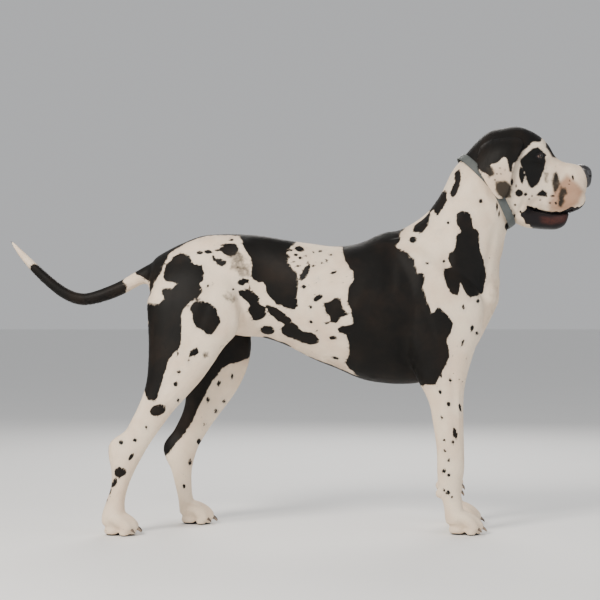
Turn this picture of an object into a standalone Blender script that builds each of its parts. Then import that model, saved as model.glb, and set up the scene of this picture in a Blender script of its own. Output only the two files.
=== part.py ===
"""A great dane bitch in harlequin coat, standing square-headed with the hind legs staggered.

Life size, in metres, +Z up, nose towards +X, the dog's left towards +Y. The body is modelled as
flesh lofted over named landmarks, fused into one skin, and parted into named pieces by thin cuts.
"""

import math

import bmesh
import bpy
import numpy as np
from mathutils import Matrix, Vector
from mathutils.bvhtree import BVHTree

# Driving dimensions. The tables below are in millimetres of a dane 800 mm high at the withers.
WITHERS_HEIGHT = 0.80
UNIT = WITHERS_HEIGHT / 800.0

GAP = 0.0003
EAR_GAP = 0.0012
SEAT_GAP = 0.0005
VOXEL = 0.0028
RING_STEP = 11.0
RING_SIDES = 28
BODY_TRIANGLES = 7600
SMOOTH_ROUNDS = 5
DETAIL_SHARE = 0.1
FEET_SHARE = 0.2
DETAIL_WEIGHT = 0.5
MERGE = 0.00002

# Colours of the hard and bare parts, and of the white coat and the collar.
WHITE_COAT = (0.80, 0.73, 0.64)
BLACK_SKIN = (0.020, 0.019, 0.022)
EYE_BROWN = (0.055, 0.028, 0.014)
BLACK_COAT = (0.030, 0.026, 0.024)
CLAW_HORN = (0.20, 0.17, 0.14)
COLLAR_GREY = (0.10, 0.11, 0.10)

# A ring is the cut through a limb or trunk: its end a and end b as seen from the side, the half width
# across, the middle's place across, where between b and a it is widest, how square each end is,
# and how far the middle bows outwards.
RING_FIELDS = ("ax", "az", "bx", "bz", "half", "y", "widest", "square_a", "square_b", "bow")
RING_DEFAULTS = {"y": 0.0, "widest": 0.5, "square_a": 2.0, "square_b": 2.0, "bow": 0.0}


def rings(names, rows):
    """Rows of numbers as full ring rows; names says which fields the rows give."""
    names = names.split()
    table = []
    for row in rows:
        given = dict(RING_DEFAULTS)
        given.update(zip(names, row))
        table.append([given[field] for field in RING_FIELDS])
    return np.array(table, float)


TRUNK = rings(
    "ax az bx bz half widest square_a square_b",
    [
        (-402, 694, -408, 650, 20, 0.50, 2.0, 2.0),
        (-390, 722, -398, 613, 50, 0.50, 2.0, 2.0),
        (-353, 745, -358, 588, 74, 0.50, 2.1, 2.0),
        (-314, 764, -314, 564, 86, 0.52, 2.1, 2.0),
        (-263, 783, -263, 541, 92, 0.55, 2.1, 2.0),
        (-210, 788, -210, 524, 93, 0.57, 2.1, 2.0),
        (-159, 788, -155, 513, 91, 0.58, 2.2, 2.0),
        (-101, 783, -101, 509, 90, 0.58, 2.2, 1.9),
        (-36, 771, -36, 487, 97, 0.57, 2.2, 1.9),
        (29, 762, 31, 453, 110, 0.55, 2.2, 1.9),
        (95, 755, 95, 427, 120, 0.54, 2.2, 1.9),
        (155, 764, 160, 399, 125, 0.52, 2.1, 1.9),
        (215, 789, 226, 387, 124, 0.50, 1.8, 1.9),
        (272, 795, 290, 386, 117, 0.48, 1.7, 1.9),
        (333, 778, 350, 396, 106, 0.46, 1.8, 1.9),
        (396, 749, 412, 424, 95, 0.46, 2.0, 1.9),
        (449, 715, 462, 478, 80, 0.48, 2.0, 2.0),
        (497, 683, 502, 552, 58, 0.50, 2.0, 2.0),
        (526, 658, 528, 606, 26, 0.50, 2.0, 2.0),
    ],
)
NECK = rings(
    "ax az bx bz half widest square_a",
    [
        (228, 786, 425, 478, 96, 0.50, 1.9),
        (280, 806, 498, 565, 92, 0.50, 1.9),
        (328, 838, 529, 639, 84, 0.50, 1.9),
        (357, 872, 529, 691, 77, 0.50, 1.9),
        (380, 909, 535, 741, 72, 0.50, 1.9),
        (400, 951, 544, 785, 68, 0.52, 2.0),
        (426, 985, 558, 813, 66, 0.54, 2.0),
        (458, 1019, 578, 822, 66, 0.56, 2.0),
    ],
)
HEAD = rings(
    "ax az bx bz half widest square_a square_b",
    [
        (435, 997, 556, 836, 60, 0.50, 2.0, 2.0),
        (467, 1033, 573, 819, 66, 0.55, 2.1, 2.1),
        (500, 1060, 585, 815, 70, 0.58, 2.3, 2.2),
        (536, 1069, 592, 824, 72, 0.58, 2.4, 2.3),
        (575, 1073, 604, 839, 70, 0.58, 2.5, 2.3),
        (607, 1063, 619, 845, 64, 0.58, 2.6, 2.4),
        (636, 1046, 640, 843, 55, 0.57, 2.6, 2.6),
        (659, 1024, 660, 838, 48, 0.48, 2.4, 2.8),
        (677, 995, 680, 838, 45, 0.38, 2.3, 3.0),
        (696, 980, 700, 841, 44, 0.30, 2.5, 3.0),
        (719, 975, 719, 846, 43, 0.32, 2.6, 2.8),
        (737, 971, 736, 855, 39, 0.36, 2.5, 2.6),
        (752, 966, 750, 872, 31, 0.44, 2.4, 2.3),
        (761, 957, 758, 895, 20, 0.50, 2.2, 2.2),
        (765, 947, 761, 915, 8, 0.50, 2.0, 2.0),
    ],
)
JAW = rings(
    "ax az bx bz half square_b",
    [
        (541, 845, 553, 828, 34, 2.2),
        (572, 851, 576, 814, 39, 2.4),
        (604, 853, 602, 804, 41, 2.4),
        (633, 851, 631, 800, 40, 2.5),
        (661, 849, 659, 798, 38, 2.5),
        (684, 848, 683, 799, 34, 2.5),
        (702, 846, 702, 809, 26, 2.3),
        (712, 842, 711, 826, 12, 2.0),
    ],
)
# The fore leg from the top of the shoulder blade to the knuckles, a in front and b behind.
FORELEG = rings(
    "ax az bx bz half y",
    [
        (304, 782, 223, 769, 18, 34),
        (370, 735, 226, 712, 34, 56),
        (436, 676, 236, 641, 42, 70),
        (478, 605, 249, 565, 47, 77),
        (476, 546, 264, 499, 46, 81),
        (457, 484, 285, 440, 42, 85),
        (442, 437, 302, 404, 38, 89),
        (430, 392, 320, 370, 34, 93),
        (425, 345, 334, 335, 31, 96),
        (425, 292, 342, 290, 29, 98),
        (426, 240, 350, 238, 27, 99),
        (427, 195, 353, 193, 28, 100),
        (426, 162, 353, 158, 30, 100),
        (421, 132, 356, 128, 27, 100),
        (419, 102, 364, 98, 25, 100),
        (422, 74, 372, 68, 28, 100),
        (426, 52, 374, 44, 33, 100),
        (430, 32, 378, 26, 32, 100),
    ],
)
# The near hind leg is set back and the far one forward, from the croup to the knuckles.
HINDLEG_RIGHT = rings(
    "ax az bx bz half y",
    [
        (-202, 744, -339, 728, 24, 46),
        (-175, 688, -377, 671, 40, 66),
        (-160, 631, -402, 612, 48, 77),
        (-154, 577, -402, 561, 50, 85),
        (-166, 528, -399, 509, 48, 92),
        (-200, 486, -399, 462, 45, 98),
        (-228, 443, -401, 419, 41, 103),
        (-256, 403, -407, 383, 36, 107),
        (-290, 364, -419, 346, 31, 111),
        (-329, 321, -437, 308, 27, 113),
        (-360, 280, -459, 277, 24, 114),
        (-392, 234, -497, 240, 25, 114),
        (-409, 205, -501, 207, 26, 114),
        (-429, 168, -494, 168, 25, 114),
        (-446, 128, -494, 127, 24, 114),
        (-456, 88, -507, 86, 26, 114),
        (-455, 56, -518, 48, 32, 114),
        (-450, 34, -516, 26, 31, 114),
    ],
)
HINDLEG_LEFT = rings(
    "ax az bx bz half y",
    [
        (-203, 750, -345, 735, 24, 46),
        (-171, 694, -381, 676, 40, 66),
        (-151, 634, -393, 615, 48, 77),
        (-141, 577, -392, 560, 50, 85),
        (-137, 525, -385, 508, 48, 92),
        (-135, 480, -365, 462, 45, 98),
        (-142, 436, -341, 411, 41, 103),
        (-160, 390, -325, 377, 36, 107),
        (-186, 346, -318, 341, 31, 111),
        (-221, 300, -329, 297, 27, 113),
        (-252, 256, -350, 262, 24, 114),
        (-278, 212, -377, 218, 25, 114),
        (-289, 182, -375, 186, 26, 114),
        (-297, 147, -358, 150, 25, 114),
        (-298, 105, -346, 107, 24, 114),
        (-295, 72, -337, 70, 27, 114),
        (-287, 54, -334, 46, 32, 114),
        (-280, 34, -332, 26, 31, 114),
    ],
)
# The tail's middle line and thickness, from the croup to the tip.
TAIL = [
    (-355, 692, 37),
    (-390, 684, 29),
    (-429, 669, 23),
    (-478, 643, 20.5),
    (-540, 620, 18.5),
    (-584, 613, 17.5),
    (-628, 628, 16.8),
    (-669, 658, 15.6),
    (-708, 694, 14),
    (-741, 729, 11),
    (-764, 756, 7),
    (-777, 772, 3),
]
# An ear hangs from its root on the side of the skull, a in front and b behind.
EAR = rings(
    "ax az bx bz half y bow",
    [
        (560, 1042, 490, 1032, 4.6, -4, 2),
        (579, 1033, 473, 1016, 5.0, 3, 5),
        (582, 1016, 463, 995, 4.4, 9, 7),
        (571, 992, 460, 971, 3.6, 12.5, 7),
        (559, 965, 465, 948, 3.2, 14.5, 6),
        (551, 936, 479, 922, 3.0, 15.5, 5),
        (546, 908, 494, 899, 2.9, 15.5, 4),
        (540, 887, 507, 882, 2.8, 15, 3),
        (529, 874, 519, 873, 2.4, 14.5, 1),
    ],
)

EYE_CENTRE = (625, 44, 990)
EYE_RADIUS = 13.0
LID_RADIUS = 17.0
GAZE = math.radians(48)
LID_OPENING = (14.5, 9.0)
LID_ROLL = math.radians(12)
LID_TAPER = 0.35
LID_CUT = 40

# The lip line in profile, from the corner of the mouth to the front, and how wide the lips part.
LIP_LINE = ((598, 856), (618, 850), (640, 844), (664, 839.5), (688, 840), (708, 844), (716, 847))
LIP_PARTING = 2.6
LIP_INNER = 25.0

NOSE = rings(
    "ax az bx bz half square_a square_b widest",
    [
        (736, 971, 742, 926, 17, 2.2, 2.0, 0.55),
        (747, 972, 752, 915, 24, 2.3, 1.9, 0.62),
        (757, 970, 760, 910, 26, 2.4, 1.8, 0.64),
        (767, 964, 767, 912, 23, 2.4, 1.8, 0.64),
        (773, 956, 772, 920, 15, 2.2, 1.9, 0.60),
        (775, 948, 774, 930, 6, 2.0, 2.0, 0.50),
    ],
)
NOSTRIL = (771, 10.5, 942)
NOSTRIL_RADII = (9, 5.2, 5.6)
NOSTRIL_TURN = 0.3
SLIT_OFF = (-4, 8, -2)
SLIT_RADII = (7, 7, 2.2)

NAPE = (432, 984)
THROAT = (562, 806)
COLLAR_WIDTH = 23.0
COLLAR_THICK = 3.2
COLLAR_EASE = 1.2
COLLAR_BOW = 14.0
COLLAR_SIDES = 44

# The feet: each toe runs from the knuckles to its tip, as shares of the foot's length and width.
FOOT_LENGTH = 96.0
FOOT_WIDTH = 78.0
TOES = ((-0.37, 0.84, 15.0), (-0.13, 1.0, 16.5), (0.13, 1.0, 16.5), (0.37, 0.84, 15.0))
TOE_PATH = ((0.26, 46, 0.95), (0.50, 45, 1.10), (0.72, 35, 1.12), (0.90, 21, 1.0), (0.99, 13, 0.62))
CLAW_PATH = ((-12, 20, 4.6), (-4, 20, 4.4), (4, 17, 3.7), (10, 12, 2.6), (13, 8, 1.0))
DEWCLAW = ((408, 118, 5.0), (417, 112, 4.4), (424, 104, 3.2), (427, 97, 1.2))
DEWCLAW_Y = 74
CLAW_FLAT = 0.75

# Pads and the arch over them: a share of the foot's length from the heel, the height and the radii.
HEEL_PAD = (0.36, 12, (25, 27, 16))
FOOT_ARCH = (0.42, 36, (30, 32, 26))
TOE_PAD_BACK = 15
TOE_PAD_HEIGHT = 9
TOE_PAD_RADII = (14, 0.80, 11)
TOE_GATHER = 0.16

# Small masses on each side: the place and the radii.
WRIST_PAD = ((361, 100, 106), (13, 12, 14))
DEWCLAW_ROOT = ((413, 78, 118), (14, 9, 12))
BREAST_POINT = ((489, 34, 622), (32, 34, 46))
UPPER_LIP = ((712, 22, 880), (44, 24, 36))
NIPPLES = ((60, 36, 447), (190, 40, 392), (-10, 32, 474), (-62, 30, 500), (130, 40, 410))
NIPPLE_RADII = (9, 9, 7)
LEAD_TOP = 700
LEAD_RUN = 300

FORE_HEEL = 374
FORE_Y = 100
FORE_LEAD = 17
HIND_Y = 114
SIDES = {"right": -1, "left": 1}
HINDLEGS = {"right": (HINDLEG_RIGHT, -522), "left": (HINDLEG_LEFT, -338)}

# Dents and swellings: the place, how far it reaches each way, and how far the skin is pushed out.
FORMS = {
    "orbit": ((650, 44, 968), (20, 22, 17), -7.0),
    "brow": ((628, 36, 1016), (20, 20, 11), 6.0),
    "temple": ((580, 58, 1036), (26, 22, 18), -3.5),
    "stop": ((668, 0, 1012), (16, 12, 20), -4.0),
    "forehead furrow": ((622, 0, 1060), (34, 8, 16), -3.0),
    "cheek arch": ((596, 66, 980), (34, 18, 12), 4.0),
    "cheek": ((560, 62, 930), (38, 24, 36), 4.5),
    "muzzle side": ((700, 40, 940), (34, 16, 16), -2.5),
    "flews": ((690, 42, 866), (40, 20, 18), 3.0),
    "nape muscle": ((330, 55, 800), (60, 30, 34), 4.0),
    "neck groove": ((440, 62, 760), (20, 26, 90), -4.0),
    "shoulder blade front": ((385, 88, 690), (12, 24, 60), -5.0),
    "shoulder blade back": ((236, 105, 690), (16, 24, 80), -5.0),
    "shoulder blade spine": ((310, 92, 690), (12, 26, 80), 4.0),
    "behind the arm": ((268, 112, 510), (20, 34, 60), -7.0),
    "elbow": ((325, 104, 404), (20, 26, 24), 4.0),
    "last ribs": ((20, 96, 620), (26, 34, 80), 4.0),
    "flank hollow": ((-112, 88, 650), (46, 34, 60), -9.0),
    "loin muscle": ((-60, 40, 770), (110, 22, 20), 4.0),
    "spine furrow": ((-40, 0, 778), (150, 10, 16), -4.0),
    "hip bone": ((-150, 66, 752), (20, 18, 20), 6.0),
    "hip hollow": ((-230, 86, 690), (26, 24, 30), -5.0),
    "thigh swell": ((-250, 108, 560), (60, 30, 70), 5.0),
    "thigh seam": ((-338, 100, 540), (14, 26, 90), -6.0),
    "seat bone": ((-392, 50, 655), (22, 22, 20), 5.0),
    "rump cleft": ((-420, 0, 590), (40, 14, 60), -10.0),
    "kneecap": ((-160, 96, 500), (26, 24, 30), 3.0),
}
HOCK_HOLLOW = ((24, 20, 26), -6.0)
HOCKS = {"right": (-452, 262), "left": (-336, 244)}

# Where the body parts. A wall is a path in profile, a block an outline; both lie between two depths.
WALLS = (
    (((397, 1032), (597, 758)), -160, 160),
    (((215, 852), (580, 586)), -200, 200),
    (((30, 900), (30, 400)), -200, 200),
    (((-118, 900), (-118, 460)), -200, 200),
    (((-380, 750), (-417, 642)), -60, 60),
    (((-508, 700), (-532, 570)), -60, 60),
    (((-609, 684), (-671, 606)), -60, 60),
    (((-540, 72), (-400, 72)), -180, -60),
    (((-370, 72), (-230, 72)), 60, 180),
    (((-360, 206), (-500, 318)), -180, -60),
    (((-230, 212), (-372, 306)), 60, 180),
)
THIGH_OUTLINE = ((-124, 440), (-124, 480), (-152, 600), (-300, 655), (-450, 640), (-480, 440))
THIGH_INNER = 12
FORELEG_OUTLINE = ((285, 152), (285, 425), (520, 520), (520, 152))
FORELEG_INNER = 48
JAW_BACK = ((572, 815), (566, 770), (780, 770), (780, 846))
JAW_HALF = 90
LIP_OUTER = 80
LIMB_OUTER = 220
FLOOR_OUTLINE = ((-700, 0), (700, 0), (700, -60), (-700, -60))
FLOOR_HALF = 300

# The pieces of the parted body, each with a place near its middle.
PIECES = {
    "head": (590, 0, 950),
    "lower_jaw": (640, 0, 822),
    "neck": (430, 0, 830),
    "chest": (260, 0, 600),
    "loin": (-45, 0, 640),
    "rump": (-260, 0, 700),
    "tail_base": (-455, 0, 660),
    "tail_middle": (-590, 0, 620),
    "tail_tip": (-690, 0, 690),
    "foreleg_right": (385, -98, 310),
    "foreleg_left": (400, 98, 310),
    "forepaw_right": (400, -100, 70),
    "forepaw_left": (415, 100, 70),
    "thigh_right": (-280, -90, 540),
    "thigh_left": (-265, 90, 540),
    "shank_right": (-350, -108, 350),
    "shank_left": (-260, 108, 350),
    "hock_right": (-465, -114, 160),
    "hock_left": (-330, 114, 160),
    "hindpaw_right": (-475, -114, 35),
    "hindpaw_left": (-290, 114, 35),
}
COAT_COLOURS = {
    "head": WHITE_COAT,
    "neck": WHITE_COAT,
    "chest": BLACK_COAT,
    "loin": WHITE_COAT,
    "rump": BLACK_COAT,
    "tail_base": BLACK_COAT,
    "tail_middle": BLACK_COAT,
    "tail_tip": WHITE_COAT,
}


def mm(*values):
    return Vector(values) * UNIT


def smoothed(rows, step):
    """Rings read from a smooth curve through the given ones, about step apart."""
    rows = np.asarray(rows, float)
    padded = np.vstack([2 * rows[0] - rows[1], rows, 2 * rows[-1] - rows[-2]])
    found = [rows[0]]
    for i in range(1, len(padded) - 2):
        p0, p1, p2, p3 = padded[i - 1 : i + 3]
        gap = np.linalg.norm(((p2 - p1)[:4]).reshape(2, 2).mean(0))
        count = max(1, math.ceil(gap / step))
        for t in np.arange(1, count + 1) / count:
            linear, square, cube = p2 - p0, 2 * p0 - 5 * p1 + 4 * p2 - p3, 3 * p1 - p0 - 3 * p2 + p3
            found.append(0.5 * (2 * p1 + linear * t + square * t * t + cube * t**3))
    return np.array(found)


def ring_point(angle, row, side):
    """The place on a ring at this angle, 90 degrees being end a."""
    ax, az, bx, bz, half, y, widest, square_a, square_b, bow = row
    along, across = math.sin(angle), math.cos(angle)
    square = square_a if along >= 0 else square_b
    along = math.copysign(abs(along) ** (2 / square), along)
    across = math.copysign(abs(across) ** (2 / square), across)
    share = widest + along * ((1 - widest) if along >= 0 else widest)
    level = y + bow * (1 - (2 * share - 1) ** 2)
    x = bx + (ax - bx) * share
    z = bz + (az - bz) * share
    return mm(x, side * level + abs(half) * across, z)


def loft(bm, rows, side=1, step=RING_STEP, sides=RING_SIDES):
    """One closed tube through the rings, extruded ring by ring."""
    angle = bm.verts.layers.float.get("angle") or bm.verts.layers.float.new("angle")
    table = smoothed(rows, step)
    loop = bmesh.ops.create_circle(bm, cap_ends=True, radius=1, segments=sides)["verts"]
    for v in loop:
        v[angle] = math.atan2(v.co.y, v.co.x)
    edges = list({e for v in loop for e in v.link_edges})
    for i, row in enumerate(table):
        if i:
            made = bmesh.ops.extrude_edge_only(bm, edges=edges)["geom"]
            loop = [g for g in made if isinstance(g, bmesh.types.BMVert)]
            new = set(loop)
            edges = [e for e in made if isinstance(e, bmesh.types.BMEdge) and new >= set(e.verts)]
        for v in loop:
            v.co = ring_point(v[angle], row, side)
    bmesh.ops.contextual_create(bm, geom=edges)


def ball(bm, centre, radii, turn=0.0, segments=20):
    """An ellipsoid, turned about the vertical."""
    place = Matrix.Translation(mm(*centre)) @ Matrix.Rotation(turn, 4, "Z")
    place = place @ Matrix.Diagonal((*mm(*radii), 1))
    bmesh.ops.create_uvsphere(bm, u_segments=segments, v_segments=segments // 2, radius=1, matrix=place)


def tube_rows(line, y=0.0, flat=1.0):
    """Rings of a tube along (x, z, radius) points in profile, y off the middle, flat across."""
    rows = []
    for i, (x, z, radius) in enumerate(line):
        before, after = line[max(i - 1, 0)], line[min(i + 1, len(line) - 1)]
        run = Vector((after[0] - before[0], after[1] - before[1])).normalized()
        up = Vector((run.y, -run.x)) * radius
        rows.append((x + up.x, z + up.y, x - up.x, z - up.y, radius * flat, y))
    return rings("ax az bx bz half y", rows)


def toe_places(heel, y):
    """(middle across, tip's place along, radius) of each toe of a foot."""
    return [(y + a * FOOT_WIDTH, heel + reach * FOOT_LENGTH, r) for a, reach, r in TOES]


def foot(bm, heel, y):
    """Four arched toes, the pads under them and the heel pad."""
    first = TOE_PATH[0][0]
    for across, tip, radius in toe_places(heel, y):
        root = heel + first * FOOT_LENGTH
        path = []
        for share, height, thick in TOE_PATH:
            along = (share - first) / (1 - first)
            path.append((root + along * (tip - root), height, thick * radius))
        rows = tube_rows(path, y=across)
        inward = np.linspace(TOE_GATHER, 0.0, len(rows))
        rows[:, RING_FIELDS.index("y")] += (y - across) * inward
        loft(bm, rows, step=6, sides=16)
        long, wide, high = TOE_PAD_RADII
        ball(bm, (tip - TOE_PAD_BACK, across, TOE_PAD_HEIGHT), (long, radius * wide, high), segments=14)
    for share, height, radii in (HEEL_PAD, FOOT_ARCH):
        ball(bm, (heel + share * FOOT_LENGTH, y, height), radii)


def horn(bm, line, y):
    """A claw along (x, z, radius) points, flat across."""
    loft(bm, tube_rows(line, y, CLAW_FLAT), step=40, sides=7)


def claw(bm, tip, y):
    """A short horn that curves down from a toe's tip and stays clear of the floor."""
    horn(bm, [(tip + x, z, r) for x, z, r in CLAW_PATH], y)


def dewclaw(bm, lead, side):
    horn(bm, [(x + lead, z, r) for x, z, r in DEWCLAW], side * DEWCLAW_Y)


def fore_lead(side):
    return FORE_LEAD if side > 0 else 0


def led(rows, lead):
    """Rings moved along, the lower the more, as a leg set a little ahead of its fellow."""
    moved = rows.copy()
    for x, z in ((0, 1), (2, 3)):
        moved[:, x] += lead * np.clip((LEAD_TOP - moved[:, z]) / LEAD_RUN, 0, 1)
    return moved


def flesh(bm):
    """Every mass of muscle, bone and fat, each a closed form that runs into its neighbours."""
    loft(bm, TRUNK)
    loft(bm, NECK)
    loft(bm, HEAD, step=7)
    loft(bm, JAW, step=7)
    loft(bm, tube_rows(TAIL), step=8, sides=18)
    for name, side in SIDES.items():
        hind, heel = HINDLEGS[name]
        lead = fore_lead(side)
        loft(bm, led(FORELEG, lead), side=side)
        loft(bm, hind, side=side)
        foot(bm, FORE_HEEL + lead, side * FORE_Y)
        foot(bm, heel, side * HIND_Y)
        for (x, y, z), radii in (WRIST_PAD, DEWCLAW_ROOT):
            ball(bm, (x + lead, side * y, z), radii)
        for (x, y, z), radii in (BREAST_POINT, UPPER_LIP, (EYE_CENTRE, (LID_RADIUS,) * 3)):
            ball(bm, (x, side * y, z), radii)
        for x, y, z in NIPPLES:
            ball(bm, (x, side * y, z), NIPPLE_RADII, segments=10)


def mesh_object(name, mesh):
    obj = bpy.data.objects.new(name, mesh)
    bpy.context.scene.collection.objects.link(obj)
    return obj


def built(name, make, *args, **words):
    """An object of what make adds to an empty bmesh, with its faces pointing out."""
    bm = bmesh.new()
    make(bm, *args, **words)
    bmesh.ops.recalc_face_normals(bm, faces=bm.faces)
    mesh = bpy.data.meshes.new(name)
    bm.to_mesh(mesh)
    bm.free()
    return mesh_object(name, mesh)


def settle(obj):
    """Applies the object's modifiers."""
    graph = bpy.context.evaluated_depsgraph_get()
    mesh = bpy.data.meshes.new_from_object(obj.evaluated_get(graph))
    old = obj.data
    obj.modifiers.clear()
    obj.data = mesh
    bpy.data.meshes.remove(old)


def fuse(obj, voxel):
    """Fuses overlapping forms into one skin and smooths where they meet."""
    remesh = obj.modifiers.new("skin", "REMESH")
    remesh.mode = "VOXEL"
    remesh.voxel_size = voxel
    smooth = obj.modifiers.new("soften", "SMOOTH")
    smooth.factor = 0.5
    smooth.iterations = SMOOTH_ROUNDS
    settle(obj)


def coords(mesh, kind="co"):
    flat = np.empty(len(mesh.vertices) * 3)
    source = mesh.vertices if kind == "co" else mesh.vertex_normals
    source.foreach_get("co" if kind == "co" else "vector", flat)
    return flat.reshape(-1, 3)


def model(obj):
    """Pushes the skin in and out at the named places, on both sides of the body."""
    mesh = obj.data
    co, normal = coords(mesh) / UNIT, coords(mesh, "normal")
    push = np.zeros(len(co))
    forms = list(FORMS.values())
    reach, depth = HOCK_HOLLOW
    for name, (x, z) in HOCKS.items():
        for across in (-15, 15):
            forms.append(((x, SIDES[name] * HIND_Y + across, z), reach, depth, True))
    for centre, reach, depth, *single in forms:
        for side in (1, -1):
            off = (co - np.array(centre) * (1, side, 1)) / reach
            push += depth * np.exp(-(off**2).sum(1))
            if single or centre[1] == 0:
                break
    moved = (co + normal * push[:, None]) * UNIT
    mesh.vertices.foreach_set("co", moved.ravel())
    mesh.update()


def reduce(obj, triangles):
    """Lowers the count of triangles, keeping more of them on the head and the feet."""
    mesh = obj.data
    group = obj.vertex_groups.new(name="detail")
    co = coords(mesh) / UNIT
    head = 1 / (1 + np.exp(-(co[:, 0] - 560) / 20)) * (co[:, 2] > 760)
    feet = 1 / (1 + np.exp((co[:, 2] - 70) / 12))
    weight = np.maximum(head, FEET_SHARE * feet)
    for i in range(11):
        chosen = np.nonzero(np.round(weight * 10) == i)[0]
        group.add(chosen.tolist(), DETAIL_SHARE * i / 10, "REPLACE")
    thin = obj.modifiers.new("thin", "DECIMATE")
    thin.decimate_type = "COLLAPSE"
    thin.use_collapse_triangulate = True
    thin.vertex_group = group.name
    thin.invert_vertex_group = True
    thin.vertex_group_factor = DETAIL_WEIGHT
    thin.ratio = triangles / sum(len(p.vertices) - 2 for p in mesh.polygons)
    settle(obj)
    obj.vertex_groups.clear()


def cut(obj, tool, operation="DIFFERENCE"):
    """Cuts the tool out of the object, or keeps only what lies in it, and removes the tool."""
    tool.hide_render = True
    tool.display_type = "WIRE"
    boolean = obj.modifiers.new("cut", "BOOLEAN")
    boolean.operation = operation
    boolean.solver = "EXACT"
    boolean.use_self = False
    boolean.object = tool
    settle(obj)
    mesh = tool.data
    bpy.data.objects.remove(tool)
    bpy.data.meshes.remove(mesh)


def prism(bm, outline, y0, y1):
    """A flat-sided block: an outline in profile carried across from y0 to y1."""
    verts = [bm.verts.new(mm(x, y0, z)) for x, z in outline]
    face = bmesh.ops.contextual_create(bm, geom=verts)["faces"]
    moved = bmesh.ops.extrude_face_region(bm, geom=face)["geom"]
    new = [g for g in moved if isinstance(g, bmesh.types.BMVert)]
    bmesh.ops.translate(bm, verts=new, vec=mm(0, y1 - y0, 0))


def sheet(bm, path, y0, y1):
    """A path in profile carried across from y0 to y1."""
    verts = [bm.verts.new(mm(x, y0, z)) for x, z in path]
    edges = [bm.edges.new(pair) for pair in zip(verts, verts[1:])]
    moved = bmesh.ops.extrude_edge_only(bm, edges=edges)["geom"]
    new = [g for g in moved if isinstance(g, bmesh.types.BMVert)]
    bmesh.ops.translate(bm, verts=new, vec=mm(0, y1 - y0, 0))


def part_at(obj, make, path, y0, y1, thickness=GAP):
    """Parts the object along a wall or a block's faces by a cut as thin as the gap."""
    tool = built("parting", make, path, y0, y1)
    wall = tool.modifiers.new("wall", "SOLIDIFY")
    wall.thickness = thickness
    wall.offset = 0
    wall.use_even_offset = True
    settle(tool)
    cut(obj, tool)


def part_body(body):
    """Parts the fused body along every wall and block."""
    for path, y0, y1 in WALLS:
        part_at(body, sheet, path, y0, y1)
    for side in SIDES.values():
        for outline, inner in ((THIGH_OUTLINE, THIGH_INNER), (FORELEG_OUTLINE, FORELEG_INNER)):
            part_at(body, prism, outline, side * inner, side * LIMB_OUTER)
    part_at(body, prism, LIP_LINE + JAW_BACK[::-1], -JAW_HALF, JAW_HALF)


def part_lips(body):
    """Opens the line of the mouth between the lips, deepest at the sides."""
    for side in SIDES.values():
        path = LIP_LINE[:-1]
        part_at(body, sheet, path, side * LIP_INNER, side * LIP_OUTER, LIP_PARTING * UNIT)
    part_at(body, sheet, LIP_LINE[-3:], -LIP_OUTER, LIP_OUTER, LIP_PARTING * UNIT)


def press_ear(obj, tree, side):
    """Lays an ear flap on the side of the head, each place standing off it as far as its y says."""
    mesh = obj.data
    co = coords(mesh)
    for v, (x, y, z) in zip(mesh.vertices, co):
        hit = tree.ray_cast(Vector((x, side * 0.4, z)), Vector((0, -side, 0)))[0]
        level = hit.y if hit else side * 0.05
        v.co.y = y + level
    smooth = obj.modifiers.new("soften", "SMOOTH")
    smooth.factor = 0.5
    smooth.iterations = 2
    settle(obj)


def ear(tree, name, side):
    obj = built(name, loft, EAR, side=side, step=18, sides=16)
    press_ear(obj, tree, side)
    return obj


def swollen(obj, by):
    """A copy of the object with its skin moved out."""
    mesh = obj.data.copy()
    co = coords(mesh) + coords(mesh, "normal") * by
    mesh.vertices.foreach_set("co", co.ravel())
    mesh.update()
    return mesh_object("swollen", mesh)


def lid_opening(bm, side):
    """An almond block from the eye's middle out through the lids."""
    loop = bmesh.ops.create_circle(bm, cap_ends=True, radius=1, segments=14)["verts"]
    for v in loop:
        v.co.y *= (1 - LID_TAPER * v.co.x**2) * LID_OPENING[1] / LID_OPENING[0]
        v.co *= LID_OPENING[0]
    moved = bmesh.ops.extrude_face_region(bm, geom=list(bm.faces))["geom"]
    new = [g for g in moved if isinstance(g, bmesh.types.BMVert)]
    bmesh.ops.translate(bm, verts=new, vec=(0, 0, LID_CUT))
    x, y, z = EYE_CENTRE
    turn = Matrix.Rotation(side * GAZE, 4, "Z") @ Matrix.Rotation(math.pi / 2, 4, "Y")
    turn = turn @ Matrix.Rotation(math.pi / 2 - side * LID_ROLL, 4, "Z")
    place = Matrix.Scale(UNIT, 4) @ Matrix.Translation((x, side * y, z)) @ turn
    bmesh.ops.transform(bm, matrix=place, verts=list(bm.verts))


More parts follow.
